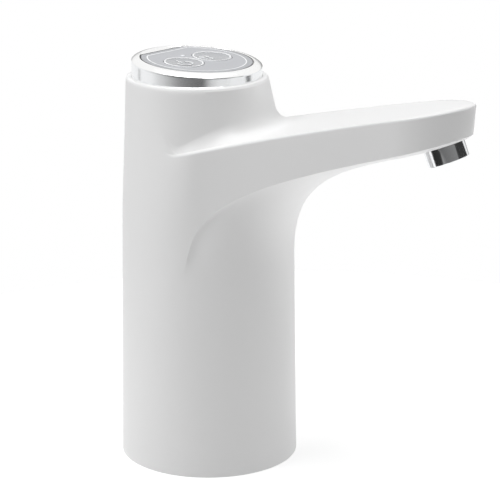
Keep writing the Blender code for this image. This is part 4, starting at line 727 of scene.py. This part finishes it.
trim = lengths(
    radius=25.2, innerRadius=21.9, panelZ=157.5, bandTop=156.2, footZ=142.9, footHeight=1, thickness=0.9,
    seat=0.12, seatLow=0.9, seatHigh=0.6, seatTop=0.02, bandLow=0.1, lip=0.08, bevelLow=(25.12, 156.28),
    bevelInset=0.35, bulgeDrop=0.15, crown=0.15, crownInset=0.12, crownDrop=0.04, crownEdge=0.2,
    shelfWidth=1.4, innerTop=152.2, innerLow=150.8, sliceGap=0.4, sliceReach=0.5, sliceDrop=0.04,
    bandDepth=0.6, bandRise=0.1,
) | {"slope": 0.070, "bulgeShare": 0.72, "bandRows": 6, "bandSlope": 0.35, "sides": 192}
panel = lengths(
    radius=21.6, chord=17.9, corner=1.6, thickness=1.2, underInset=0.4, underRound=0.2, edgeRound=0.25,
    rimWidth=2.05, lineWidth=0.5, lineLift=0.03, lineRound=0.02, faceInset=0.6, keyPitch=16.4, keyForward=0.6,
    lightBack=7.3, windowRadius=7.98, lightRadius=1.05, cutHalf=5,
) | {"turn": math.radians(-14.5)}
ringPlace = (toColumn @ Matrix.Translation((-housing["rimShift"], 0, 0))
             @ Matrix.Rotation(panel["turn"], 4, "Z"))
panelPlace = (ringPlace @ Matrix.Translation((0, 0, trim["panelZ"]))
              @ Matrix.Rotation(math.atan(trim["slope"]), 4, "Y"))


def roundedDisc(radius, chord, corner, frontSteps=96, cornerSteps=8):
    # A disc cut straight behind its centre, with the two corners rounded
    middleX = -(chord - corner)
    middleY = math.sqrt((radius - corner) ** 2 - middleX ** 2)
    reach = math.atan2(middleY, middleX)
    outline = [polar(radius, -reach + 2 * reach * step / frontSteps) for step in range(frontSteps + 1)]
    for x, y in [polar(corner, turn) for turn in spread(reach, math.pi, cornerSteps)]:
        outline.append((middleX + x, middleY + y))
    for step in range(cornerSteps):
        x, y = polar(corner, math.pi + (math.pi - reach) * step / cornerSteps)
        outline.append((middleX + x, -middleY + y))
    return outline


def buildTrimRing():
    # Each profile point holds its radius, its height and how much of the panel's tilt it takes
    radius, inner, foot, rimZ = trim["radius"], trim["innerRadius"], trim["footZ"], housing["rimZ"]
    skirt, seat, ledge = radius - gap, radius + trim["seat"], inner - trim["shelfWidth"]
    crownZ, shelf = trim["panelZ"] + trim["crown"], trim["panelZ"] - panel["thickness"] - gap
    shelfLow, bandLow = shelf - trim["shelfWidth"], rimZ + trim["bandLow"]
    points = [(skirt - trim["thickness"], foot, 0), (skirt, foot, 0), (skirt, rimZ - trim["seatLow"], 0),
              (seat, rimZ - trim["seatHigh"], 0), (seat, rimZ + trim["seatTop"], 0), (radius, bandLow, 0)]
    points += [(radius, z, share) for z, share in zip(spread(bandLow, trim["bandTop"], trim["bandRows"]),
                                                      spread(0, 1, trim["bandRows"]))]
    points += [(radius - inward, trim["bandTop"] + up, 1) for inward, up in quarter(trim["lip"], 4)]
    bevelLow, bevelTop = Vector(trim["bevelLow"]), Vector((inner + trim["bevelInset"], crownZ))
    bulge = Vector((inner + (radius - inner) * trim["bulgeShare"], trim["panelZ"] - trim["bulgeDrop"]))
    points += [(*bend(bevelLow, bulge, bevelTop, step / 10), 1) for step in range(11)]
    points += [(inner + trim["crownInset"], crownZ - trim["crownDrop"], 1),
               (inner, crownZ - trim["crownEdge"], 1), (inner, shelf, 1), (ledge, shelf, 1),
               (ledge, shelfLow, 1), (inner, shelfLow, 1), (inner, trim["innerTop"], 1),
               (ledge, trim["innerTop"], 1), (ledge, trim["innerLow"], 1),
               (skirt - trim["thickness"], foot + trim["footHeight"], 0)]
    rings = [[(x, y, height - x * trim["slope"] * share) for x, y, height in ringPoints(r, z, trim["sides"])]
             for r, z, share in points]
    mesh = skinOf("trimRing", rings, closed=True)
    mesh.transform(ringPlace)
    ring = linkPiece("trimRing", mesh)

    # The slice lies level with the panel and fills the ring behind the chord
    sliceRadius = inner + trim["sliceReach"]
    reach = math.acos((panel["chord"] + trim["sliceGap"]) / sliceRadius)
    outline = [polar(sliceRadius, math.pi - reach + 2 * reach * n / 32) for n in range(33)]
    joinWith(ring, extrudeOutline("ringSlice", outline, -panel["thickness"], -trim["sliceDrop"]), panelPlace)

    # Faces below the bevel and on the outside are the brushed band
    finishPiece(ring, "housing", [chromeBright, chromeBand], ["trim_ring"], 28)
    bandTop = trim["bandTop"] - trim["panelZ"] + trim["bandRise"]
    fromPanel = panelPlace.inverted()
    for polygon in ring.data.polygons:
        spot = fromPanel @ polygon.center
        onBand = math.hypot(spot.x, spot.y) > radius - trim["bandDepth"]
        steep = abs(polygon.normal.z) < trim["bandSlope"]
        polygon.material_index = 1 if onBand and steep and spot.z < bandTop else 0


def buildPanel():
    # Rows run from the underside's edge over the rounded edge, the dark rim and the white line
    edge, line, lift = panel["edgeRound"], panel["lineWidth"], panel["lineLift"]
    low, lineFrom = -panel["thickness"], edge + panel["rimWidth"]
    rows = [(panel["underInset"], low), (0, low + panel["underRound"]), (0, -edge)]
    rows += [(inward, -edge + up) for inward, up in quarter(edge, 4)]
    # The side rows carry the painted gap shade, then come the dark rim, the white line and the face
    kinds = [3] * (len(rows) - 1) + [1, 2, 2, 2, 0]  # which finish each row has, from the side to the face
    rows += [(lineFrom, 0), (lineFrom + panel["lineRound"], lift),
             (lineFrom + line - panel["lineRound"], lift), (lineFrom + line, 0),
             (lineFrom + line + panel["faceInset"], 0)]
    radius, chord = panel["radius"], panel["chord"]
    rings = [[(x, y, z) for x, y in roundedDisc(radius - inset, chord - inset, panel["corner"])]
             for inset, z in rows]
    mesh = skinOf("controlPanel", rings)
    for index, polygon in enumerate(mesh.polygons):
        row = index // len(rings[0])
        polygon.material_index = kinds[row] if row < len(kinds) else 0
    for material in (panelSilver, panelEdge, printWhite, panelSide):
        mesh.materials.append(material)
    plate = linkPiece("controlPanel", mesh)
    for name, radius, sides, x, y in (
            ("keyWindow", panel["windowRadius"], 72, panel["keyForward"], -panel["keyPitch"] / 2),
            ("keyWindow", panel["windowRadius"], 72, panel["keyForward"], panel["keyPitch"] / 2),
            ("lightWindow", panel["lightRadius"], 24, -panel["lightBack"], 0)):
        cutWith(plate, rodMesh(name, radius, -panel["cutHalf"], panel["cutHalf"], sides),
                Matrix.Translation((x, y, 0)))
    plate.data.transform(panelPlace)
    finishPiece(plate, "housing", (), ["control_panel"], 35)


buildTrimRing()
buildPanel()
print("stage: trim ring and panel made")


# Keys: dished caps with a white rim and a plain sign

key = lengths(
    radius=7.84, cap=1.8, dish=0.3, dishDrop=0.03, dishEdge=0.05, rimWidth=0.8, rimInset=0.2, rimLift=0.2,
    rimRound=0.1, edgeRound=0.1, underRound=0.2, stemRadius=2.6, collarRadius=3.5, collarTop=-5.3,
    collarLow=-6.2, signLift=0.17, signSink=-0.15, signStroke=0.62,
) | {"sides": 96, "dishRows": 12}
keyInside = key["radius"] - key["rimWidth"] - key["edgeRound"]
sign = lengths(ringX=0.7, ringRadius=2.8, barFrom=-4, barTo=-0.8, glassY=-3, waterX=-1.1, waterHalf=1.6) | {
    "opening": 42,
    "glass": ((-2.4, -2), (0, -1.6), (2, -1.27), (2.3, -1), (2.35, 0), (2.3, 1), (2, 1.27), (0, 1.6),
              (-2.4, 2), (-2.42, 1), (-2.42, 0), (-2.42, -1)),
}
light = lengths(radius=0.9, flange=1.6, flangeLow=-2.7, flangeTop=-1.5, wallTop=0.04, shoulder=0.14,
                crown=0.19, top=0.2) | {"shoulderShare": 0.85, "crownShare": 0.5}


def dishDepth(radius):
    share = min(radius / keyInside, 1)
    return -key["dish"] * (1 - share * share)


def keyMesh(name):
    radius, edge, cap, lift = key["radius"], key["edgeRound"], key["cap"], key["rimLift"]
    rows = [(key["collarRadius"], key["collarLow"]), (key["collarRadius"], key["collarTop"]),
            (key["stemRadius"], key["collarTop"]), (key["stemRadius"], -cap),
            (radius - key["underRound"], -cap), (radius, -cap + key["underRound"]), (radius, -edge)]
    rows += [(radius - inward, -edge + up) for inward, up in quarter(edge, 3)]
    rimFrom = len(rows) - 1
    outer, dishFrom = radius - key["rimInset"], keyInside - key["dishEdge"]
    rows += [(outer, 0), (outer - key["rimRound"], lift), (keyInside + key["rimRound"], lift), (keyInside, 0),
             (dishFrom, -key["dishDrop"])]
    for share in [1 - n / key["dishRows"] for n in range(1, key["dishRows"])]:
        rows.append((dishFrom * share, dishDepth(keyInside * share) - key["dishDrop"]))
    mesh = skinOf(name, [ringPoints(r, z, key["sides"]) for r, z in rows])
    for index, polygon in enumerate(mesh.polygons):
        polygon.material_index = 1 if rimFrom < index // key["sides"] <= rimFrom + 3 else 0
    return mesh


def strokeMesh(name, points, closed=False):
    # A thin raised line that follows the dish under it
    count, rings = len(points), []
    for index, point in enumerate(points):
        before = points[index - 1] if closed or index else point
        after = points[(index + 1) % count] if closed or index < count - 1 else point
        along = (Vector(after) - Vector(before)).normalized()
        across = Vector((-along.y, along.x)) * (key["signStroke"] / 2)
        ring = []
        for side, lifts in ((across, ("signSink", "signLift")), (-across, ("signLift", "signSink"))):
            spot = Vector(point) + side
            floor = dishDepth(spot.length) - key["dishDrop"]
            ring += [(spot.x, spot.y, floor + key[lift]) for lift in lifts]
        rings.append(ring)
    return skinOf(name, rings, closed)


def powerSign():
    # A ring open at the back with a bar through the opening
    first, last = math.radians(180 + sign["opening"]), math.radians(540 - sign["opening"])
    arc = [polar(sign["ringRadius"], turn) for turn in [first] + spread(first, last, 48)]
    bar = [(x, 0) for x in [sign["barFrom"]] + spread(sign["barFrom"], sign["barTo"], 2)]
    ring = [(sign["ringX"] + x, y) for x, y in arc]
    return [strokeMesh("powerSignRing", ring), strokeMesh("powerSignBar", bar)]


def glassSign():
    # A drinking glass seen from its side, closed at its rim, with its water line
    outline = [(x * mm, y * mm + sign["glassY"]) for x, y in sign["glass"]]
    water = [(sign["waterX"], sign["glassY"] + sign["waterHalf"] * share) for share in (-1, -0.5, 0, 0.5, 1)]
    return [strokeMesh("glassSignSide", outline, closed=True), strokeMesh("glassSignWater", water)]


def buildKey(name, node, side, signs):
    place = panelPlace @ Matrix.Translation((panel["keyForward"], side * panel["keyPitch"] / 2, 0))
    pieces = [(keyMesh(name), [keySilver, printWhite], [node], 35)]
    for mesh, materials, nodes, degrees in pieces + [(mesh, [printWhite], (), 30) for mesh in signs]:
        mesh.transform(place)
        finishPiece(linkPiece(mesh.name, mesh), node, materials, nodes, degrees)


def buildLight():
    low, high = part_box("light_pipe")
    foot, radius, flange = low.z - high.z, light["radius"], light["flange"]
    profile = [(0, foot), (radius, foot), (radius, light["flangeLow"]), (flange, light["flangeLow"]),
               (flange, light["flangeTop"]), (radius, light["flangeTop"]), (radius, light["wallTop"]),
               (radius * light["shoulderShare"], light["shoulder"]),
               (radius * light["crownShare"], light["crown"]), (0, light["top"])]
    mesh = spunMesh("lightPipe", profile, 32)
    mesh.transform(panelPlace @ Matrix.Translation((-panel["lightBack"], 0, 0)))
    finishPiece(linkPiece("lightPipe", mesh), "housing", [lightWhite], ["light_pipe"])


buildKey("powerKey", "power_key", -1, powerSign())
buildKey("flowKey", "flow_key", 1, glassSign())
buildLight()
print("stage: keys and light made")


# Nozzle: polished tube and the drilled disc in its mouth

def buildNozzle():
    radius, bore, length = nozzle["radius"], nozzle["radius"] - nozzle["wall"], nozzle["length"]
    profile = roundedProfile([(bore, 0), (radius, 0), (radius, length), (bore, length)], nozzle["edge"])
    mesh = spunMesh("nozzleTube", profile, 128, ring=True)
    mesh.transform(nozzlePlace)
    finishPiece(linkPiece("nozzleTube", mesh), "housing", [chromeTube], ["nozzle_tube"])

    disc = {"Radius": bore - gap, "Height": nozzle["insertHeight"], "Hole Radius": nozzle["holeRadius"],
            "Ring Pitch": nozzle["ringPitch"], "Finish": greyMould}
    piece = grownPiece("streamInsert", drilledGroup(), bpy.data.meshes.new("streamInsert"), disc)
    middle = nozzle["insertRecess"] + nozzle["insertHeight"] / 2
    tidyMesh(piece.data, nozzlePlace @ Matrix.Translation((0, 0, middle)))
    finishPiece(piece, "housing", (), ["stream_insert"])


buildNozzle()
print("stage: nozzle made")


# Neck: the socket, its soft sleeve with lips and fine ribs, and the barbed fitting

neck = lengths(radius=31.457, wall=2, lowZ=0.6, floorZ=38, topZ=41, landInset=0.8, landHeight=0.6,
               landRound=0.2, portRadius=3.7, screwHole=1.3, edge=0.5, portX=10)
seal = lengths(wall=1.1, lip=1.2, lipHalf=1.2, tipHalf=0.3, lowZ=6, highZ=33, edge=0.35, ribWidth=0.5,
               ribDepth=0.2, ribSink=0.1, ribHeight=4.6) | {"lips": 3, "ribs": 72}
inlet = lengths(stemRadius=3.6, rootRadius=3.2, stemLength=12, barbRound=0.08, flangeRadius=6.4,
                flangeHeight=1.8, neckRadius=3.4, neckTopZ=43.8, pipeRadius=1.7, bore=1, edge=0.3) | {
    "barbs": 3, "barbFull": 0.7, "barbEnd": 0.75}


def buildSocket():
    inner, floor, top = neck["radius"] - neck["wall"], neck["floorZ"], neck["topZ"]
    land, groove = inner - neck["landInset"], floor + neck["landHeight"]
    points = [(0, floor, 0), (land, floor, neck["landRound"]), (land, groove), (inner, groove),
              (inner, neck["lowZ"]), (neck["radius"], neck["lowZ"]), (neck["radius"], top), (0, top, 0)]
    socket = linkPiece("neckSocket", spunMesh("neckSocket", roundedProfile(points, neck["edge"]), 128))
    holes = [(neck["portRadius"], (neck["portX"], 0))]
    holes += [(neck["screwHole"], polar(bosses["pitch"], math.radians(turn))) for turn in bosses["angles"]]
    for radius, spot in holes:
        cutWith(socket, rodMesh("socketDrill", radius, floor - past, top + past, 32),
                Matrix.Translation((*spot, 0)))
    socket.data.transform(toColumn)
    finishPiece(socket, "housing", [whiteInner], ["neck_socket"])


def buildSeal():
    outer = neck["radius"] - neck["wall"] - gap
    bore, low, high = outer - seal["wall"], seal["lowZ"], seal["highZ"]
    tip, pitch = bore - seal["lip"], (high - low) / seal["lips"]
    points = [(outer, low), (outer, high), (bore, high)]
    for step in range(seal["lips"]):
        middle = high - pitch * (step + 0.5)
        points += [(bore, middle + seal["lipHalf"]), (tip, middle + seal["tipHalf"]),
                   (tip, middle - seal["tipHalf"]), (bore, middle - seal["lipHalf"])]
    points.append((bore, low))
    mesh = spunMesh("neckSeal", roundedProfile(points, seal["edge"]), 128, ring=True)
    mesh.transform(toColumn)
    finishPiece(linkPiece("neckSeal", mesh), "housing", [softSilicone], ["neck_seal"])

    # Fine upright ribs on the sleeve between its lips
    deep, half, rise = seal["ribDepth"], seal["ribWidth"] / 2, seal["ribHeight"] / 2
    rib = linkPiece("ribUnit", boxMesh("ribUnit", (-deep, -half, -rise), (seal["ribSink"], half, rise)))
    values = {"Count": seal["ribs"], "Radius": bore, "Rows": seal["lips"] - 1, "First Height": low + pitch,
              "Row Pitch": pitch, "Finish": softSilicone}
    ribs = grownPiece("sealRibs", aroundGroup(), bpy.data.meshes.new("sealRibs"), values, rib)
    tidyMesh(ribs.data, toColumn)
    finishPiece(ribs, "housing")


def buildInlet():
    root, flange = inlet["rootRadius"], inlet["flangeRadius"]
    stub, pipe = inlet["neckRadius"], inlet["pipeRadius"]
    flangeTop, neckTop = neck["floorZ"] - gap, inlet["neckTopZ"]
    flangeLow = flangeTop - inlet["flangeHeight"]
    stemLow, tipZ = flangeLow - inlet["stemLength"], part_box("inlet_fitting")[1].z
    pitch = inlet["stemLength"] / inlet["barbs"]
    points = [(0, stemLow, 0), (root, stemLow)]
    for barb in [stemLow + pitch * step for step in range(inlet["barbs"])]:
        points += [(inlet["stemRadius"], barb + pitch * inlet["barbFull"], inlet["barbRound"]),
                   (root, barb + pitch * inlet["barbEnd"], inlet["barbRound"])]
    points += [(root, flangeLow), (flange, flangeLow), (flange, flangeTop), (stub, flangeTop),
               (stub, neckTop), (pipe, neckTop), (pipe, tipZ), (0, tipZ, 0)]
    fitting = linkPiece("inletFitting", spunMesh("inletFitting", roundedProfile(points, inlet["edge"]), 64))
    cutWith(fitting, rodMesh("inletBore", inlet["bore"], stemLow - past, tipZ + past, 32))
    fitting.data.transform(toColumn @ Matrix.Translation((neck["portX"], 0, 0)))
    finishPiece(fitting, "housing", [whiteInner], ["inlet_fitting"])


buildSocket()
buildSeal()
buildInlet()
print("stage: neck made")


# Screws: domed heads with a cross recess, and rolled threads

screws = {
    "base": {**lengths(shank=1, head=2.1, headHeight=1.4, pitch=0.75), "node": "base_screw_", "count": 4,
             "turnStep": 0.7},
    "pumpHead": {**lengths(shank=0.8, head=1.5, headHeight=1.4, pitch=0.6), "node": "head_screw_", "count": 3,
                 "turnStep": 1.1},
}
# Shares of the head: the dome's radii and heights, then the cross's arm and half width
screwDome = ((0.62, 1), (0.82, 0.96), (0.95, 0.8), (1, 0.55), (1, 0.1), (0.96, 0))
recessRows = ((0.66, 0.16), (0.34, 0.12))
thread = {"root": 0.8, "collar": 0.8, "taper": 1.6, "narrow": 0.75, "rowsPerTurn": 8, "sides": 24,
          "recessFloor": 0.3, "recessAbove": 0.5 * mm}


def screwUnit(name, size, length):
    shank, head, high, pitch = size["shank"], size["head"], size["headHeight"], size["pitch"]
    root, taper, sides = shank * thread["root"], shank * thread["taper"], thread["sides"]
    rows = [(head * r, -high * z) for r, z in screwDome] + [(shank, 0), (shank, high * thread["collar"])]
    rings = [ringPoints(r, z, sides) for r, z in rows]
    end = length - high
    steps = int((end - high) / pitch * thread["rowsPerTurn"])
    for z in [high] + spread(high, end, steps):
        point = 1 - max(0, (z - (end - taper)) / taper) * thread["narrow"]
        ring = []
        for t in [math.tau * n / sides for n in range(sides)]:
            phase = (z / pitch - t / math.tau) % 1
            wave = min(max(1.5 - 3 * abs(2 * phase - 1), 0), 1)
            ring.append((*polar((root + (shank - root) * wave) * point, t), z))
        rings.append(ring)
    unit = linkPiece(name, skinOf(name, rings))

    # The cross recess narrows toward its floor
    recess = []
    for z, (arm, half) in zip((-high - thread["recessAbove"], -high * thread["recessFloor"]), recessRows):
        corners = [(head * arm, -head * half), (head * arm, head * half), (head * half, head * half)]
        ring = []
        for _ in range(4):
            ring += [(x, y, z) for x, y in corners]
            corners = [(-y, x) for x, y in corners]
        recess.append(ring)
    cutWith(unit, skinOf("crossRecess", recess))
    return unit


def buildScrews(kind, group):
    size = screws[kind]
    nodes = [size["node"] + str(number) for number in range(1, size["count"] + 1)]
    boxes = [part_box(node) for node in nodes]
    low, high = boxes[0]
    unit = screwUnit(kind + "Unit", size, high.z - low.z)
    spots = [((a.x + b.x) / 2, (a.y + b.y) / 2, a.z + size["headHeight"]) for a, b in boxes]
    values = {"Turn Step": size["turnStep"], "Finish": plainSteel}
    piece = grownPiece(kind + "Screws", group, meshFrom("screwSpots", spots, []), values, unit)
    tidyMesh(piece.data)
    finishPiece(piece, "housing", (), nodes)


screwGroup = scatterGroup()
for screwKind in screws:
    buildScrews(screwKind, screwGroup)
print("stage: screws made")


# Charging socket: a rounded steel sleeve with a tongue and its contacts

def buildChargeSocket():
    low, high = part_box("charge_socket")
    halfWide, halfHigh, depth = (high.y - low.y) / 2, (high.z - low.z) / 2, high.x - low.x
    place = Matrix.Translation((low.x, 0, (low.z + high.z) / 2)) @ sideways
    wall, wide, thick = port["wall"], port["tongueHalfWide"], port["tongueHalfHigh"]
    socket = linkPiece("chargeSocket", slotMesh("chargeSocket", halfWide, halfHigh, 0, depth))
    cutWith(socket, slotMesh("socketHollow", halfWide - wall, halfHigh - wall, -past, depth - wall))
    joinWith(socket, boxMesh("socketTongue", (-wide, -thick, port["tongueFrom"]),
                             (wide, thick, depth - wall / 2)))
    socket.data.transform(place)
    finishPiece(socket, "housing", [plainSteel], ["charge_socket"])

    # A row of contacts on each side of the tongue
    half, halfThick = port["contactHalf"], port["contactHalfHigh"]
    contact = linkPiece("contactUnit", boxMesh("contactUnit", (-half, -halfThick, 0),
                                               (half, halfThick, port["contactLength"])))
    spots = [((n - (port["contacts"] - 1) / 2) * port["contactPitch"], side * thick,
              port["tongueFrom"] + port["contactFrom"]) for side in (-1, 1) for n in range(port["contacts"])]
    contacts = grownPiece("chargeContacts", screwGroup, meshFrom("contactSpots", spots, []),
                          {"Turn Step": 0.0, "Finish": contactGold}, contact)
    tidyMesh(contacts.data, place)
    finishPiece(contacts, "housing")


buildChargeSocket()
print("stage: charging socket made")


# Ground, lamps and camera; turns are in degrees from the camera's own bearing

studio = {
    "bearing": 25, "elevation": 16.079, "lens": 144, "sensor": 36, "clip": (0.05, 20), "shift": 0.01629,
    "aimZ": 0.08180, "distance": 0.78619, "lampAim": (0, 0, 0.09), "worldLevel": 0.0, "floorRadius": 0.26,
    "floorDepths": (-0.004, -0.0001), "floorMatt": 0.4, "floorSeen": 0.5, "floorGlow": 0.7, "floorLift": 0.62,
    "cardSteps": 72,
}
sideTones = ((94, 0.9), (97, 0.06), (108, 0.06), (112, 0.9))
tubeLeftTones = ((-84, 0.5), (-80, 0.02), (-34, 0.03), (-30, 0.16))
tubeRightTones = ((54, 0.22), (60, 0.045), (116, 0.045), (120, 0.9))
cards = {
    "frontCard": {
        "centre": (0, 0), "radius": 1.6, "heights": (-0.62, -0.13, -0.06, 0.75),
        "low": ((-124, 1), (-121, 0.5), (-117, 0.5), (-114, 1), (-84, 1), (-70, 0.79), (-61, 0.73),
                (-44, 0.5), (-27, 0.31), (-12, 0.21), (3, 0.155), (11, 0.13), (18, 0.5), (26, 0.8), (41, 1),
                (66, 1)),
        "high": ((-124, 1), (-100, 1), (-62, 0.5), (-35, 0.14), (50, 0.24), (90, 0.9))},
    "backCard": {
        "centre": (0, 0), "radius": 1.5, "heights": (0.0, 0.28, 0.5, 0.52),
        "low": ((130, 0.8), (150, 0.2), (185, 0.2), (205, 0.7), (235, 1)), "high": ((130, 1), (235, 1))},
    "sideCard": {
        "centre": (0, 0), "radius": 1.5, "heights": (-0.62, -0.3, -0.25, -0.1),
        "low": sideTones, "high": sideTones},
    "tubeLeftCard": {
        "centre": (0.062, -0.008), "radius": 0.06, "heights": (0.07, 0.08, 0.12, 0.124),
        "low": tubeLeftTones, "high": tubeLeftTones},
    "tubeRightCard": {
        "centre": (0.062, -0.008), "radius": 0.06, "heights": (0.13, 0.134, 0.16, 0.165),
        "low": tubeRightTones, "high": tubeRightTones},
}
# Each lamp's turn, distance, height, size, power and whether reflections show it
lamps = {
    "leftLamp": (-100, 1.2, 0.35, 1.0, 3.5, False), "highLamp": (-60, 0.9, 0.95, 0.6, 4.6, True),
    "rightLamp": (95, 1.2, 0.35, 0.9, 4.3, False), "topLamp": (180, 0.05, 1.2, 0.8, 10.3, True),
    "lowFrontLamp": (5, 1.2, -0.3, 0.6, 3.6, False), "lowLeftLamp": (-60, 1.2, -0.3, 0.6, 2.1, False),
    "lowRightLamp": (110, 1.2, -0.3, 0.6, 3.0, False),
}


def eitherRay(tree, *kinds):
    # One where the ray is of any of the given kinds
    path = addNode(tree, "ShaderNodeLightPath")
    found = path.outputs[f"Is {kinds[0]} Ray"]
    for kind in kinds[1:]:
        found = addNode(tree, "ShaderNodeMath", {0: found, 1: path.outputs[f"Is {kind} Ray"]},
                        operation="MAXIMUM").outputs[0]
    return found


def glowingMatt(tree, grey, strength):
    matt = addNode(tree, "ShaderNodeBsdfDiffuse", {"Color": (grey, grey, grey, 1)})
    glow = addNode(tree, "ShaderNodeEmission", {"Strength": strength})
    return addNode(tree, "ShaderNodeAddShader", {0: matt, 1: glow})


def buildStage():
    rings = [ringPoints(studio["floorRadius"], z, 96) for z in studio["floorDepths"]]
    floor = linkPiece("floor", skinOf("floor", rings))
    material, tree = newMaterial("floorWhite")
    tree.nodes.remove(tree.nodes["Principled BSDF"])
    lit = glowingMatt(tree, studio["floorMatt"], studio["floorLift"])
    seen = glowingMatt(tree, studio["floorSeen"], studio["floorGlow"])
    mix = addNode(tree, "ShaderNodeMixShader", {"Fac": eitherRay(tree, "Camera", "Glossy"), 1: lit, 2: seen})
    setInputs(tree, tree.nodes["Material Output"], {"Surface": mix})
    floor.data.materials.append(material)

    world = bpy.data.worlds.new("studio")
    bpy.context.scene.world = world
    world.use_nodes = True
    tree = world.node_tree
    level = addNode(tree, "ShaderNodeMapRange", {"Value": eitherRay(tree, "Camera", "Glossy", "Transmission"),
                                                 "To Min": studio["worldLevel"], "To Max": 1.0})
    setInputs(tree, tree.nodes["Background"], {"Color": (1, 1, 1, 1), "Strength": level})


def readShade(shades, degrees):
    for (a, u), (b, v) in zip(shades, shades[1:]):
        if a <= degrees <= b:
            return u + (v - u) * (degrees - a) / (b - a)
    return shades[-1][1]


def addCard(name, card):
    # A curved card round a centre, shaded along its length, which only reflections see, from its inner side
    first, last = card["low"][0][0], card["low"][-1][0]
    verts, faces, tones = [], [], []
    for degrees in [first] + spread(first, last, studio["cardSteps"]):
        x, y = polar(card["radius"], math.radians(studio["bearing"] + degrees) - math.pi / 2)
        for z, shades in zip(card["heights"], (card["low"], card["low"], card["high"], card["high"])):
            verts.append((card["centre"][0] + x, card["centre"][1] + y, z))
            tones.append(readShade(shades, degrees))
    for corner in [step * 4 + row for step in range(studio["cardSteps"]) for row in range(3)]:
        faces.append((corner, corner + 1, corner + 5, corner + 4))
    mesh = meshFrom(name, verts, faces)
    mesh.attributes.new("shade", "FLOAT", "POINT").data.foreach_set("value", tones)
    piece = linkPiece(name, mesh)
    material, tree = newMaterial(name)
    tree.nodes.remove(tree.nodes["Principled BSDF"])
    read = addNode(tree, "ShaderNodeAttribute", attribute_name="shade")
    glow = addNode(tree, "ShaderNodeEmission", {"Strength": read.outputs["Fac"]})
    side = addNode(tree, "ShaderNodeNewGeometry")
    clear = addNode(tree, "ShaderNodeBsdfTransparent")
    mix = addNode(tree, "ShaderNodeMixShader", {"Fac": side.outputs["Backfacing"], 1: glow, 2: clear})
    setInputs(tree, tree.nodes["Material Output"], {"Surface": mix})
    mesh.materials.append(material)
    for way in ("visible_camera", "visible_diffuse", "visible_transmission", "visible_shadow"):
        setattr(piece, way, False)


def addLooking(name, data, spot, along):
    # A lamp or camera at a spot, looking along a direction
    holder = bpy.data.objects.new(name, data)
    holder.location = spot
    holder.rotation_mode = "QUATERNION"
    holder.rotation_quaternion = along.to_track_quat("-Z", "Y")
    bpy.context.scene.collection.objects.link(holder)
    return holder


def addLamp(name, turn, distance, height, size, power, mirrored):
    data = bpy.data.lights.new(name, "AREA")
    data.size = size
    data.energy = power
    spot = Vector((*polar(distance, math.radians(studio["bearing"] + turn) - math.pi / 2), height))
    addLooking(name, data, spot, Vector(studio["lampAim"]) - spot).visible_glossy = mirrored


def buildCamera():
    turn, rise = math.radians(studio["bearing"]), math.radians(studio["elevation"])
    right = Vector((math.cos(turn), math.sin(turn), 0))
    back = Vector((math.sin(turn) * math.cos(rise), -math.cos(turn) * math.cos(rise), math.sin(rise)))
    data = bpy.data.cameras.new("camera")
    data.lens = studio["lens"]
    data.sensor_width = studio["sensor"]
    data.clip_start, data.clip_end = studio["clip"]
    spot = right * studio["shift"] + Vector((axisX, 0, studio["aimZ"])) + back * studio["distance"]
    bpy.context.scene.camera = addLooking("camera", data, spot, -back)


buildStage()
for cardName, card in cards.items():
    addCard(cardName, card)
for lampName, lamp in lamps.items():
    addLamp(lampName, *lamp)
buildCamera()
view = bpy.context.scene.view_settings
view.view_transform = "Standard"
print("stage: floor, lamps and camera set")

for nodeName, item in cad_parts.items():
    if item.hide_render:
        continue
    item.data.materials.clear()
    item.data.materials.append(nodeFinishes.get(nodeName, plainSteel))
print("stage: finishes given to the carried nodes")
